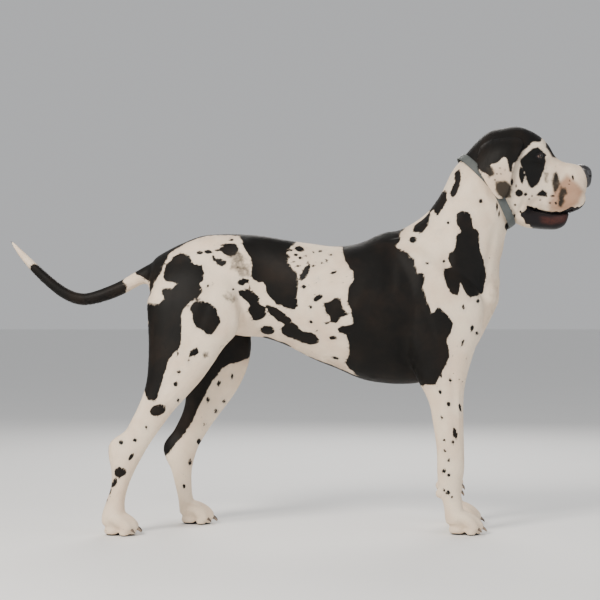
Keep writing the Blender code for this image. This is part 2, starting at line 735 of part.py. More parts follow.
def collar(bm, tree):
    """A flat band round the neck: rays find the flesh under it, and it lies just clear of that."""
    top, bottom = Vector((NAPE[0], 0, NAPE[1])), Vector((THROAT[0], 0, THROAT[1]))
    up = (top - bottom).normalized()
    along = Vector((up.z, 0, -up.x))
    stations = []
    for i in range(COLLAR_SIDES):
        angle = 2 * math.pi * i / COLLAR_SIDES
        out = up * math.cos(angle) + Vector((0, math.sin(angle), 0))
        centre = (top + bottom) / 2 + along * COLLAR_BOW * math.sin(angle) ** 2
        reach = 0
        for share in (-0.5, -0.25, 0, 0.25, 0.5):
            start = (centre + along * share * COLLAR_WIDTH) * UNIT
            hit = tree.ray_cast(start + out * 0.3, -out)[0]
            reach = max(reach, (hit - start).length / UNIT)
        stations.append((centre, out, reach))
    reach = np.array([station[2] for station in stations])
    widest = np.maximum(reach, np.maximum(np.roll(reach, 1), np.roll(reach, -1)))
    eased = (widest + np.roll(widest, 1) + np.roll(widest, -1)) / 3
    inner = np.maximum(widest, eased) + COLLAR_EASE
    loops = []
    for (centre, out, _), distance in zip(stations, inner):
        loop = []
        for share, thick in ((-0.5, 0), (0.5, 0), (0.5, 0.7), (0.36, 1), (-0.36, 1), (-0.5, 0.7)):
            place = centre + along * share * COLLAR_WIDTH + out * (distance + thick * COLLAR_THICK)
            loop.append(bm.verts.new(place * UNIT))
        loops.append([bm.edges.new(pair) for pair in zip(loop, loop[1:] + loop[:1])])
    for near, far in zip(loops, loops[1:] + loops[:1]):
        bmesh.ops.bridge_loops(bm, edges=near + far)


def loose_pieces(obj):
    """The closed surfaces of an object as (volume, middle, bmesh) each."""
    bm = bmesh.new()
    bm.from_mesh(obj.data)
    bmesh.ops.triangulate(bm, faces=bm.faces)
    found, seen = [], set()
    for start in bm.verts:
        if start in seen:
            continue
        island, stack = {start}, [start]
        while stack:
            for e in stack.pop().link_edges:
                for v in e.verts:
                    if v not in island:
                        island.add(v)
                        stack.append(v)
        seen |= island
        piece = bm.copy()
        piece.verts.ensure_lookup_table()
        keep = {v.index for v in island}
        bmesh.ops.delete(piece, geom=[v for v in piece.verts if v.index not in keep], context="VERTS")
        middle = sum((v.co for v in piece.verts), Vector()) / len(piece.verts)
        found.append((abs(piece.calc_volume()), middle, piece))
    bm.free()
    return found


def name_pieces(body):
    """Makes a node of each piece of the parted body, leaving out crumbs of the cuts."""
    found = sorted(loose_pieces(body), key=lambda piece: -piece[0])
    nodes = {}
    for _, middle, piece in found[: len(PIECES)]:
        left = [name for name in PIECES if name not in nodes]
        name = min(left, key=lambda name: (mm(*PIECES[name]) - middle).length)
        mesh = bpy.data.meshes.new(name)
        bmesh.ops.dissolve_degenerate(piece, dist=MERGE, edges=piece.edges)
        bmesh.ops.triangulate(piece, faces=piece.faces)
        piece.to_mesh(mesh)
        nodes[name] = mesh_object(name, mesh)
    for _, _, piece in found:
        piece.free()
    mesh = body.data
    bpy.data.objects.remove(body)
    bpy.data.meshes.remove(mesh)
    return nodes


def paint(obj, colour, roughness):
    material = bpy.data.materials.new(obj.name)
    material.use_nodes = True
    shader = material.node_tree.nodes["Principled BSDF"]
    shader.inputs["Base Color"].default_value = (*colour, 1)
    shader.inputs["Roughness"].default_value = roughness
    obj.data.materials.clear()
    obj.data.materials.append(material)


def tree_of(obj):
    bm = bmesh.new()
    bm.from_mesh(obj.data)
    tree = BVHTree.FromBMesh(bm)
    bm.free()
    return tree


def all_claws():
    """(name, function, arguments) of every claw and dewclaw."""
    found = []
    for name, side in SIDES.items():
        lead = fore_lead(side)
        for limb, heel, y in (("fore", FORE_HEEL + lead, FORE_Y), ("hind", HINDLEGS[name][1], HIND_Y)):
            for i, (across, tip, radius) in enumerate(toe_places(heel, side * y)):
                found.append((f"claw_{limb}_{name}_{i + 1}", claw, (tip, across)))
        found.append((f"dewclaw_{name}", dewclaw, (lead, side)))
    return found


def seat(body, obj, colour, roughness, gap=SEAT_GAP):
    """Paints a hard part and cuts the room for it out of the body."""
    paint(obj, colour, roughness)
    cut(body, swollen(obj, gap))


def add_head_parts(body, tree):
    """Ears, eyes and nose, each in a seat of its own."""
    x, y, z = EYE_CENTRE
    for name, side in SIDES.items():
        seat(body, ear(tree, f"ear_{name}", side), BLACK_COAT, 0.8, EAR_GAP)
        eye = built(f"eye_{name}", ball, (x, side * y, z), (EYE_RADIUS,) * 3, segments=16)
        seat(body, eye, EYE_BROWN, 0.1)
        cut(body, built("opening", lid_opening, side))
    nose = built("nose", loft, NOSE, step=10, sides=20)
    seat(body, nose, BLACK_SKIN, 0.35)
    x, y, z = NOSTRIL
    back, out, down = SLIT_OFF
    for side in SIDES.values():
        turn = side * NOSTRIL_TURN
        cut(nose, built("nostril", ball, (x, side * y, z), NOSTRIL_RADII, turn=turn, segments=12))
        slit = (x + back, side * (y + out), z + down)
        cut(nose, built("slit", ball, slit, SLIT_RADII, segments=12))


def main():
    for obj in list(bpy.data.objects):
        bpy.data.objects.remove(obj)
    body = built("body", flesh)
    fuse(body, VOXEL)
    model(body)
    reduce(body, BODY_TRIANGLES)
    tree = tree_of(body)
    paint(built("collar", collar, tree), COLLAR_GREY, 0.7)
    add_head_parts(body, tree)
    for name, make, words in all_claws():
        seat(body, built(name, make, *words), CLAW_HORN, 0.4)
    cut(body, built("floor", prism, FLOOR_OUTLINE, -FLOOR_HALF, FLOOR_HALF))
    part_lips(body)
    part_body(body)
    for name, obj in name_pieces(body).items():
        paint(obj, COAT_COLOURS.get(name, WHITE_COAT), 0.8)


main()
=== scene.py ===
"""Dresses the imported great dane: one skin, its harlequin coat, eyes, nose, claws and collar.

Everything is in metres, +Z up, nose towards +X, the dog's left towards +Y. Tables named in
millimetres are of a dane 800 mm high at the withers, as the solids are.
"""

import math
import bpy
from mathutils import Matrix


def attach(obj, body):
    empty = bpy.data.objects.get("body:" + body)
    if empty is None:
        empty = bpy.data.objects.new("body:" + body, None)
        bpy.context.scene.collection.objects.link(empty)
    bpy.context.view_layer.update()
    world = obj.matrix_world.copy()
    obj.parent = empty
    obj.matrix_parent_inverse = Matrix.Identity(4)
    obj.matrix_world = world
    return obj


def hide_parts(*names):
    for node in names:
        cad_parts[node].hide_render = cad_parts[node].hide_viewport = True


bl_info = {
    "name": "Harlequin great dane",
    "version": (1, 0, 0),
    "blender": (4, 5, 0),
    "location": "View3D > Sidebar > Dane",
    "description": "Builds the skin, coat, eyes, nose, claws and collar of a standing great dane",
    "category": "Object",
}

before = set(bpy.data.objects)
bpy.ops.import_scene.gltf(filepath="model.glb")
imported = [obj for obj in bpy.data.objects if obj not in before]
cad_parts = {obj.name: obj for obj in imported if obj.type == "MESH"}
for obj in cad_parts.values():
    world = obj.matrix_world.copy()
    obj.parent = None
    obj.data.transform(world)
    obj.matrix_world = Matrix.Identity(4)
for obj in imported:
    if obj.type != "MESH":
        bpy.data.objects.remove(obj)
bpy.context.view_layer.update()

import bmesh
import bpy
import numpy as np
from mathutils import Matrix, Vector
from mathutils.bvhtree import BVHTree

MM = 0.001
SIDES = {"right": -1, "left": 1}
FLESH = (
    "head lower_jaw neck chest loin rump tail_base tail_middle tail_tip foreleg_right foreleg_left "
    "forepaw_right forepaw_left thigh_right thigh_left shank_right shank_left hock_right hock_left "
    "hindpaw_right hindpaw_left ear_right ear_left"
).split()

# A ring is the cut through a limb or trunk: its end a and end b as seen from the side, the half width
# across, the middle's place across, where between b and a it is widest, how square each end is,
# and how far the middle bows outwards.
RING_FIELDS = ("ax", "az", "bx", "bz", "half", "y", "widest", "square_a", "square_b", "bow")
RING_DEFAULTS = {"y": 0.0, "widest": 0.5, "square_a": 2.0, "square_b": 2.0, "bow": 0.0}


def rings(names, rows):
    """Rows of numbers as full ring rows; names says which fields the rows give."""
    names = names.split()
    table = []
    for row in rows:
        given = dict(RING_DEFAULTS)
        given.update(zip(names, row))
        table.append([given[field] for field in RING_FIELDS])
    return np.array(table, float)


TRUNK = rings(
    "ax az bx bz half widest square_a square_b",
    [
        (-402, 694, -408, 650, 20, 0.50, 2.0, 2.0),
        (-390, 722, -398, 613, 50, 0.50, 2.0, 2.0),
        (-353, 745, -358, 588, 74, 0.50, 2.1, 2.0),
        (-314, 764, -314, 564, 86, 0.52, 2.1, 2.0),
        (-263, 783, -263, 541, 92, 0.55, 2.1, 2.0),
        (-210, 788, -210, 524, 93, 0.57, 2.1, 2.0),
        (-159, 788, -155, 513, 91, 0.58, 2.2, 2.0),
        (-101, 783, -101, 509, 90, 0.58, 2.2, 1.9),
        (-36, 771, -36, 487, 97, 0.57, 2.2, 1.9),
        (29, 762, 31, 453, 110, 0.55, 2.2, 1.9),
        (95, 755, 95, 427, 120, 0.54, 2.2, 1.9),
        (155, 764, 160, 399, 125, 0.52, 2.1, 1.9),
        (215, 789, 226, 387, 124, 0.50, 1.8, 1.9),
        (272, 795, 290, 386, 117, 0.48, 1.7, 1.9),
        (333, 778, 350, 396, 106, 0.46, 1.8, 1.9),
        (396, 749, 412, 424, 95, 0.46, 2.0, 1.9),
        (449, 715, 462, 478, 80, 0.48, 2.0, 2.0),
        (497, 683, 502, 552, 58, 0.50, 2.0, 2.0),
        (526, 658, 528, 606, 26, 0.50, 2.0, 2.0),
    ],
)
NECK = rings(
    "ax az bx bz half widest square_a",
    [
        (228, 786, 425, 478, 96, 0.50, 1.9),
        (280, 806, 498, 565, 92, 0.50, 1.9),
        (328, 838, 529, 639, 84, 0.50, 1.9),
        (357, 872, 529, 691, 77, 0.50, 1.9),
        (380, 909, 535, 741, 72, 0.50, 1.9),
        (400, 951, 544, 785, 68, 0.52, 2.0),
        (426, 985, 558, 813, 66, 0.54, 2.0),
        (458, 1019, 578, 822, 66, 0.56, 2.0),
    ],
)
HEAD = rings(
    "ax az bx bz half widest square_a square_b",
    [
        (435, 997, 556, 836, 60, 0.50, 2.0, 2.0),
        (467, 1033, 573, 819, 66, 0.55, 2.1, 2.1),
        (500, 1060, 585, 815, 70, 0.58, 2.3, 2.2),
        (536, 1069, 592, 824, 72, 0.58, 2.4, 2.3),
        (575, 1073, 604, 839, 70, 0.58, 2.5, 2.3),
        (607, 1063, 619, 845, 64, 0.58, 2.6, 2.4),
        (636, 1046, 640, 843, 55, 0.57, 2.6, 2.6),
        (659, 1024, 660, 838, 48, 0.48, 2.4, 2.8),
        (677, 995, 680, 838, 45, 0.38, 2.3, 3.0),
        (696, 980, 700, 841, 44, 0.30, 2.5, 3.0),
        (719, 975, 719, 846, 43, 0.32, 2.6, 2.8),
        (737, 971, 736, 855, 39, 0.36, 2.5, 2.6),
        (752, 966, 750, 872, 31, 0.44, 2.4, 2.3),
        (761, 957, 758, 895, 20, 0.50, 2.2, 2.2),
        (765, 947, 761, 915, 8, 0.50, 2.0, 2.0),
    ],
)
JAW = rings(
    "ax az bx bz half square_b",
    [
        (541, 845, 553, 828, 34, 2.2),
        (572, 851, 576, 814, 39, 2.4),
        (604, 853, 602, 804, 41, 2.4),
        (633, 851, 631, 800, 40, 2.5),
        (661, 849, 659, 798, 38, 2.5),
        (684, 848, 683, 799, 34, 2.5),
        (702, 846, 702, 809, 26, 2.3),
        (712, 842, 711, 826, 12, 2.0),
    ],
)
# The fore leg from the top of the shoulder blade to the knuckles, a in front and b behind.
FORELEG = rings(
    "ax az bx bz half y",
    [
        (304, 782, 223, 769, 18, 34),
        (370, 735, 226, 712, 34, 56),
        (436, 676, 236, 641, 42, 70),
        (478, 605, 249, 565, 47, 77),
        (476, 546, 264, 499, 46, 81),
        (457, 484, 285, 440, 42, 85),
        (442, 437, 302, 404, 38, 89),
        (430, 392, 320, 370, 34, 93),
        (425, 345, 334, 335, 31, 96),
        (425, 292, 342, 290, 29, 98),
        (426, 240, 350, 238, 27, 99),
        (427, 195, 353, 193, 28, 100),
        (426, 162, 353, 158, 30, 100),
        (421, 132, 356, 128, 27, 100),
        (419, 102, 364, 98, 25, 100),
        (422, 74, 372, 68, 28, 100),
        (426, 52, 374, 44, 33, 100),
        (430, 32, 378, 26, 32, 100),
    ],
)
# The near hind leg is set back and the far one forward, from the croup to the knuckles.
HINDLEG_RIGHT = rings(
    "ax az bx bz half y",
    [
        (-202, 744, -339, 728, 24, 46),
        (-175, 688, -377, 671, 40, 66),
        (-160, 631, -402, 612, 48, 77),
        (-154, 577, -402, 561, 50, 85),
        (-166, 528, -399, 509, 48, 92),
        (-200, 486, -399, 462, 45, 98),
        (-228, 443, -401, 419, 41, 103),
        (-256, 403, -407, 383, 36, 107),
        (-290, 364, -419, 346, 31, 111),
        (-329, 321, -437, 308, 27, 113),
        (-360, 280, -459, 277, 24, 114),
        (-392, 234, -497, 240, 25, 114),
        (-409, 205, -501, 207, 26, 114),
        (-429, 168, -494, 168, 25, 114),
        (-446, 128, -494, 127, 24, 114),
        (-456, 88, -507, 86, 26, 114),
        (-455, 56, -518, 48, 32, 114),
        (-450, 34, -516, 26, 31, 114),
    ],
)
HINDLEG_LEFT = rings(
    "ax az bx bz half y",
    [
        (-203, 750, -345, 735, 24, 46),
        (-171, 694, -381, 676, 40, 66),
        (-151, 634, -393, 615, 48, 77),
        (-141, 577, -392, 560, 50, 85),
        (-137, 525, -385, 508, 48, 92),
        (-135, 480, -365, 462, 45, 98),
        (-142, 436, -341, 411, 41, 103),
        (-160, 390, -325, 377, 36, 107),
        (-186, 346, -318, 341, 31, 111),
        (-221, 300, -329, 297, 27, 113),
        (-252, 256, -350, 262, 24, 114),
        (-278, 212, -377, 218, 25, 114),
        (-289, 182, -375, 186, 26, 114),
        (-297, 147, -358, 150, 25, 114),
        (-298, 105, -346, 107, 24, 114),
        (-295, 72, -337, 70, 27, 114),
        (-287, 54, -334, 46, 32, 114),
        (-280, 34, -332, 26, 31, 114),
    ],
)
# The tail's middle line and thickness, from the croup to the tip.
TAIL = [
    (-355, 692, 37),
    (-390, 684, 29),
    (-429, 669, 23),
    (-478, 643, 20.5),
    (-540, 620, 18.5),
    (-584, 613, 17.5),
    (-628, 628, 16.8),
    (-669, 658, 15.6),
    (-708, 694, 14),
    (-741, 729, 11),
    (-764, 756, 7),
    (-777, 772, 3),
]
# An ear hangs from its root on the side of the skull, a in front and b behind.
EAR = rings(
    "ax az bx bz half y bow square_a square_b",
    [
        (560, 1042, 490, 1032, 4.6, -4, 2, 3.2, 3.2),
        (579, 1033, 473, 1016, 5.0, 3, 5, 3.2, 3.2),
        (582, 1016, 463, 995, 4.4, 9, 7, 3.2, 3.2),
        (571, 992, 460, 971, 3.6, 12.5, 7, 3.2, 3.2),
        (559, 965, 465, 948, 3.2, 14.5, 6, 3.2, 3.2),
        (551, 936, 479, 922, 3.0, 15.5, 5, 3.2, 3.2),
        (546, 908, 494, 899, 2.9, 15.5, 4, 3.2, 3.2),
        (540, 887, 507, 882, 2.8, 15, 3, 3.2, 3.2),
        (529, 874, 519, 873, 2.4, 14.5, 1, 3.2, 3.2),
    ],
)
NOSE = rings(
    "ax az bx bz half square_a square_b widest",
    [
        (736, 971, 742, 926, 17, 2.2, 2.0, 0.55),
        (747, 972, 752, 915, 24, 2.3, 1.9, 0.62),
        (757, 970, 760, 910, 26, 2.4, 1.8, 0.64),
        (767, 964, 767, 912, 23, 2.4, 1.8, 0.64),
        (773, 956, 772, 920, 15, 2.2, 1.9, 0.60),
        (775, 948, 774, 930, 6, 2.0, 2.0, 0.50),
    ],
)
NOSTRIL = (771, 10.5, 942)

EYE_CENTRE = (625, 44, 990)
EYE_RADIUS = 13.0
LID_RADIUS = 17.0
GAZE = math.radians(48)
LID_OPENING = (14.5, 9.0)
LID_ROLL = math.radians(12)
LID_TAPER = 0.35
UPPER_LID = 0.92

# The lip line in profile, from the corner of the mouth to the front.
LIP_LINE = ((598, 856), (618, 850), (640, 844), (664, 839.5), (688, 840), (708, 844), (716, 847))

# The feet: each toe runs from the knuckles to its tip, as shares of the foot's length and width.
FOOT_LENGTH = 96.0
FOOT_WIDTH = 78.0
TOES = ((-0.37, 0.84, 15.0), (-0.13, 1.0, 16.5), (0.13, 1.0, 16.5), (0.37, 0.84, 15.0))
TOE_PATH = ((0.26, 46, 0.95), (0.50, 45, 1.10), (0.72, 35, 1.12), (0.90, 21, 1.0), (0.99, 13, 0.62))
CLAW_PATH = ((-12, 20, 4.6), (-4, 20, 4.4), (4, 17, 3.7), (10, 12, 2.6), (13, 8, 1.0))
DEWCLAW = ((408, 118, 5.0), (417, 112, 4.4), (424, 104, 3.2), (427, 97, 1.2))
DEWCLAW_Y = 74
CLAW_FLAT = 0.75
NIPPLES = ((60, 36, 447), (190, 40, 392), (-10, 32, 474), (-62, 30, 500), (130, 40, 410))
NIPPLE_REACH = (9, 9, 14)
NIPPLE_RISE = 4.5
NIPPLE_CLEAR = 15.0
LIP_BAND = (3.6, 10.0)

FORE_HEEL = 374
FORE_Y = 100
FORE_LEAD = 17
HIND_Y = 114
HINDLEGS = {"right": (HINDLEG_RIGHT, -522), "left": (HINDLEG_LEFT, -338)}

# Dents and swellings: the place, how far it reaches each way, and how far the skin is pushed out.
FORMS = {
    "orbit": ((650, 44, 968), (20, 22, 17), -7.0),
    "brow": ((628, 36, 1016), (20, 20, 11), 6.0),
    "temple": ((580, 58, 1036), (26, 22, 18), -3.5),
    "stop": ((668, 0, 1012), (16, 12, 20), -4.0),
    "forehead furrow": ((622, 0, 1060), (34, 8, 16), -3.0),
    "cheek arch": ((596, 66, 980), (34, 18, 12), 4.0),
    "cheek": ((560, 62, 930), (38, 24, 36), 4.5),
    "muzzle side": ((700, 40, 940), (34, 16, 16), -2.5),
    "flews": ((690, 42, 866), (40, 20, 18), 3.0),
    "nape muscle": ((330, 55, 800), (60, 30, 34), 4.0),
    "neck groove": ((440, 62, 760), (20, 26, 90), -4.0),
    "shoulder blade front": ((385, 88, 690), (12, 24, 60), -5.0),
    "shoulder blade back": ((236, 105, 690), (16, 24, 80), -5.0),
    "shoulder blade spine": ((310, 92, 690), (12, 26, 80), 4.0),
    "behind the arm": ((268, 112, 510), (20, 34, 60), -7.0),
    "elbow": ((325, 104, 404), (20, 26, 24), 4.0),
    "last ribs": ((20, 96, 620), (26, 34, 80), 4.0),
    "flank hollow": ((-112, 88, 650), (46, 34, 60), -9.0),
    "loin muscle": ((-60, 40, 770), (110, 22, 20), 4.0),
    "spine furrow": ((-40, 0, 778), (150, 10, 16), -4.0),
    "hip bone": ((-150, 66, 752), (20, 18, 20), 6.0),
    "hip hollow": ((-230, 86, 690), (26, 24, 30), -5.0),
    "thigh swell": ((-250, 108, 560), (60, 30, 70), 5.0),
    "thigh seam": ((-338, 100, 540), (14, 26, 90), -6.0),
    "seat bone": ((-392, 50, 655), (22, 22, 20), 5.0),
    "rump cleft": ((-420, 0, 590), (40, 14, 60), -10.0),
    "kneecap": ((-160, 96, 500), (26, 24, 30), 3.0),
}
HOCK_HOLLOW = ((24, 20, 26), -6.0)
HOCKS = {"right": (-452, 262), "left": (-336, 244)}

# Creases and ridges: a path in profile, the depth across at which it runs, its width and its height.
CREASES = {
    "flews fold": (((604, 862), (622, 872), (650, 884), (676, 900)), 44, 7, -2.0),
    "lip corner fold": (((590, 868), (580, 850), (572, 836)), 38, 5, -3.0),
    "cheek fold": (((600, 900), (586, 872), (574, 846)), 48, 7, -2.2),
    "brow fold": (((600, 1004), (616, 1013), (636, 1012), (648, 1002)), 44, 4, -2.0),
    "under the eye": (((606, 972), (622, 965), (642, 966)), 52, 4, -1.8),
    "upper brow": (((612, 1030), (628, 1034), (646, 1026)), 26, 6, 2.2),
    "muzzle ridge": (((676, 968), (700, 960), (736, 956)), 30, 8, 1.8),
    "throat fold": (((566, 812), (552, 790), (540, 756), (534, 716)), 16, 9, 3.0),
    "neck fold": (((470, 960), (498, 900), (520, 850)), 68, 9, -2.0),
    "second neck fold": (((446, 930), (478, 868), (506, 812)), 70, 10, -1.6),
    "neck muscle": (((450, 930), (420, 840), (400, 760), (410, 700)), 74, 18, 3.0),
    "jugular groove": (((516, 820), (500, 740), (486, 680), (470, 640)), 54, 11, -3.5),
    "shoulder ridge": (((300, 760), (340, 700), (392, 640), (440, 604)), 94, 13, 2.5),
    "arm muscle back": (((250, 640), (262, 570), (290, 500), (318, 440)), 112, 16, 3.0),
    "arm muscle seam": (((300, 620), (330, 560), (350, 500)), 116, 9, -2.5),
    "elbow fold": (((298, 440), (276, 452), (252, 470)), 100, 8, -3.0),
    "fore arm seam": (((388, 440), (396, 380), (396, 300)), 124, 7, -2.0),
    "fore tendon": (((360, 300), (366, 230), (372, 170)), 122, 5, -1.6),
    "fore vein": (((412, 400), (408, 330), (410, 260), (416, 200)), 120, 2.6, 1.2),
    "stifle fold": (((-146, 620), (-128, 560), (-112, 520), (-86, 500)), 84, 15, 7.0),
    "flank crease": (((-166, 640), (-158, 580), (-150, 540)), 96, 8, -3.5),
    "thigh muscle": (((-210, 700), (-236, 620), (-262, 540), (-300, 460)), 128, 12, -2.2),
    "shank seam": (((-296, 450), (-350, 380), (-400, 320)), 134, 8, -2.2),
    "shank vein": (((-290, 400), (-340, 350), (-392, 300)), 136, 2.6, 1.1),
    "rib line": (((30, 470), (-10, 530), (-30, 600)), 90, 15, -2.4),
    "belly line": (((-60, 498), (20, 470), (110, 432), (190, 400)), 60, 14, 2.0),
}
RIBS = {"first": 60, "step": 44, "count": 4, "lean": -0.42, "low": 500, "high": 690, "width": 13, "rise": 0.9}

# The lie of the coat: at each named place the hair points this way.
COAT_LIE = (
    ((750, 0, 968), (-1, 0, 0.25)),
    ((715, 40, 900), (-0.9, 0.1, -0.45)),
    ((690, 40, 820), (-0.9, 0, -0.3)),
    ((640, 45, 1000), (-0.9, 0.2, 0.4)),
    ((570, 0, 1074), (-1, 0, 0)),
    ((570, 66, 930), (-0.9, 0, -0.5)),
    ((525, 84, 950), (-0.15, 0, -1)),
    ((450, 60, 930), (-0.5, 0, -0.9)),
    ((535, 0, 760), (-0.2, 0, -1)),
    ((470, 66, 780), (-0.35, 0, -1)),
    ((370, 70, 760), (-0.75, 0, -0.8)),
    ((300, 0, 800), (-1, 0, -0.1)),
    ((510, 30, 620), (-0.1, 0, -1)),
    ((410, 90, 600), (-0.5, 0, -0.9)),
    ((250, 110, 600), (-0.9, 0, -0.55)),
    ((100, 120, 560), (-1, 0, -0.4)),
    ((100, 0, 760), (-1, 0, 0)),
    ((-80, 90, 620), (-1, 0, -0.35)),
    ((60, 30, 440), (-1, 0, -0.1)),
    ((-120, 0, 785), (-1, 0, 0)),
    ((-240, 90, 700), (-0.9, 0, -0.6)),
    ((-260, 120, 560), (-0.45, 0, -1)),
    ((-390, 80, 560), (-0.25, 0, -1)),
    ((-330, 114, 400), (-0.4, 0, -1)),
    ((-470, 114, 200), (0, 0, -1)),
    ((-320, 114, 180), (0, 0, -1)),
    ((-450, 114, 40), (0.8, 0, -0.5)),
    ((-280, 114, 40), (0.8, 0, -0.5)),
    ((360, 100, 470), (-0.25, 0, -1)),
    ((390, 100, 300), (0, 0, -1)),
    ((390, 100, 150), (0, 0, -1)),
    ((420, 100, 40), (0.8, 0, -0.5)),
    ((-370, 0, 700), (-1, 0, -0.35)),
    ((-460, 0, 650), (-0.9, 0, -0.4)),
    ((-585, 0, 613), (-1, 0, 0)),
    ((-700, 0, 690), (-0.7, 0, 0.7)),
)
LIE_REACH = 80.0

# Where the hair stands out and breaks the outline: place, reach and how much higher its tips stand.
BREAKS = {
    "withers": ((237, 0, 800), (34, 40, 16), 2.4),
    "thigh rear": ((-400, 90, 560), (18, 50, 110), 1.8),
    "seat": ((-395, 50, 650), (22, 40, 40), 1.6),
    "tail under": ((-540, 0, 602), (130, 16, 16), 1.8),
    "tail end": ((-700, 0, 682), (70, 16, 60), 1.6),
    "breast": ((505, 20, 600), (26, 50, 60), 1.5),
    "throat": ((532, 0, 720), (20, 30, 90), 1.2),
    "elbow": ((298, 100, 440), (26, 30, 40), 1.5),
    "flank fold": ((-120, 80, 520), (40, 30, 40), 1.3),
    "belly": ((60, 0, 445), (200, 60, 24), 0.7),
    "hock": ((-500, 114, 240), (18, 20, 50), 1.0),
}
TUFT_LENGTH = 6.4
TUFT_WIDTH = 1.25
TUFT_THICK = 0.16
TUFT_LIFT = 0.28
TUFT_ROOT = 0.45
TUFT_STRAY = 0.14
SHORT_SHARE = 0.42
COAT_PIECES = (("coat_front", 330, 900), ("coat_middle", -40, 330), ("coat_rear", -900, -40))
BAKE_PATCH = 0.003
EYE_CLEAR = 21
SOLE_CLEAR = 9
BARE_LIMIT = 0.25
TIP_SHARE = (0.3, 1.0)
LENGTH_RANGE = (0.75, 1.25)
WIDTH_RANGE = (0.8, 1.2)

# The camera stands where the photograph's did: places are read in its pixels.
PIXELS = 600
PIXEL_MM = 1600 / PIXELS
CAMERA_AWAY = 4.25
CAMERA_HIGH = 0.57
MID_COLUMN = 301.0
FLOOR_ROW = 529.0
FRAME_WIDE = 1.600
SENSOR = 36.0

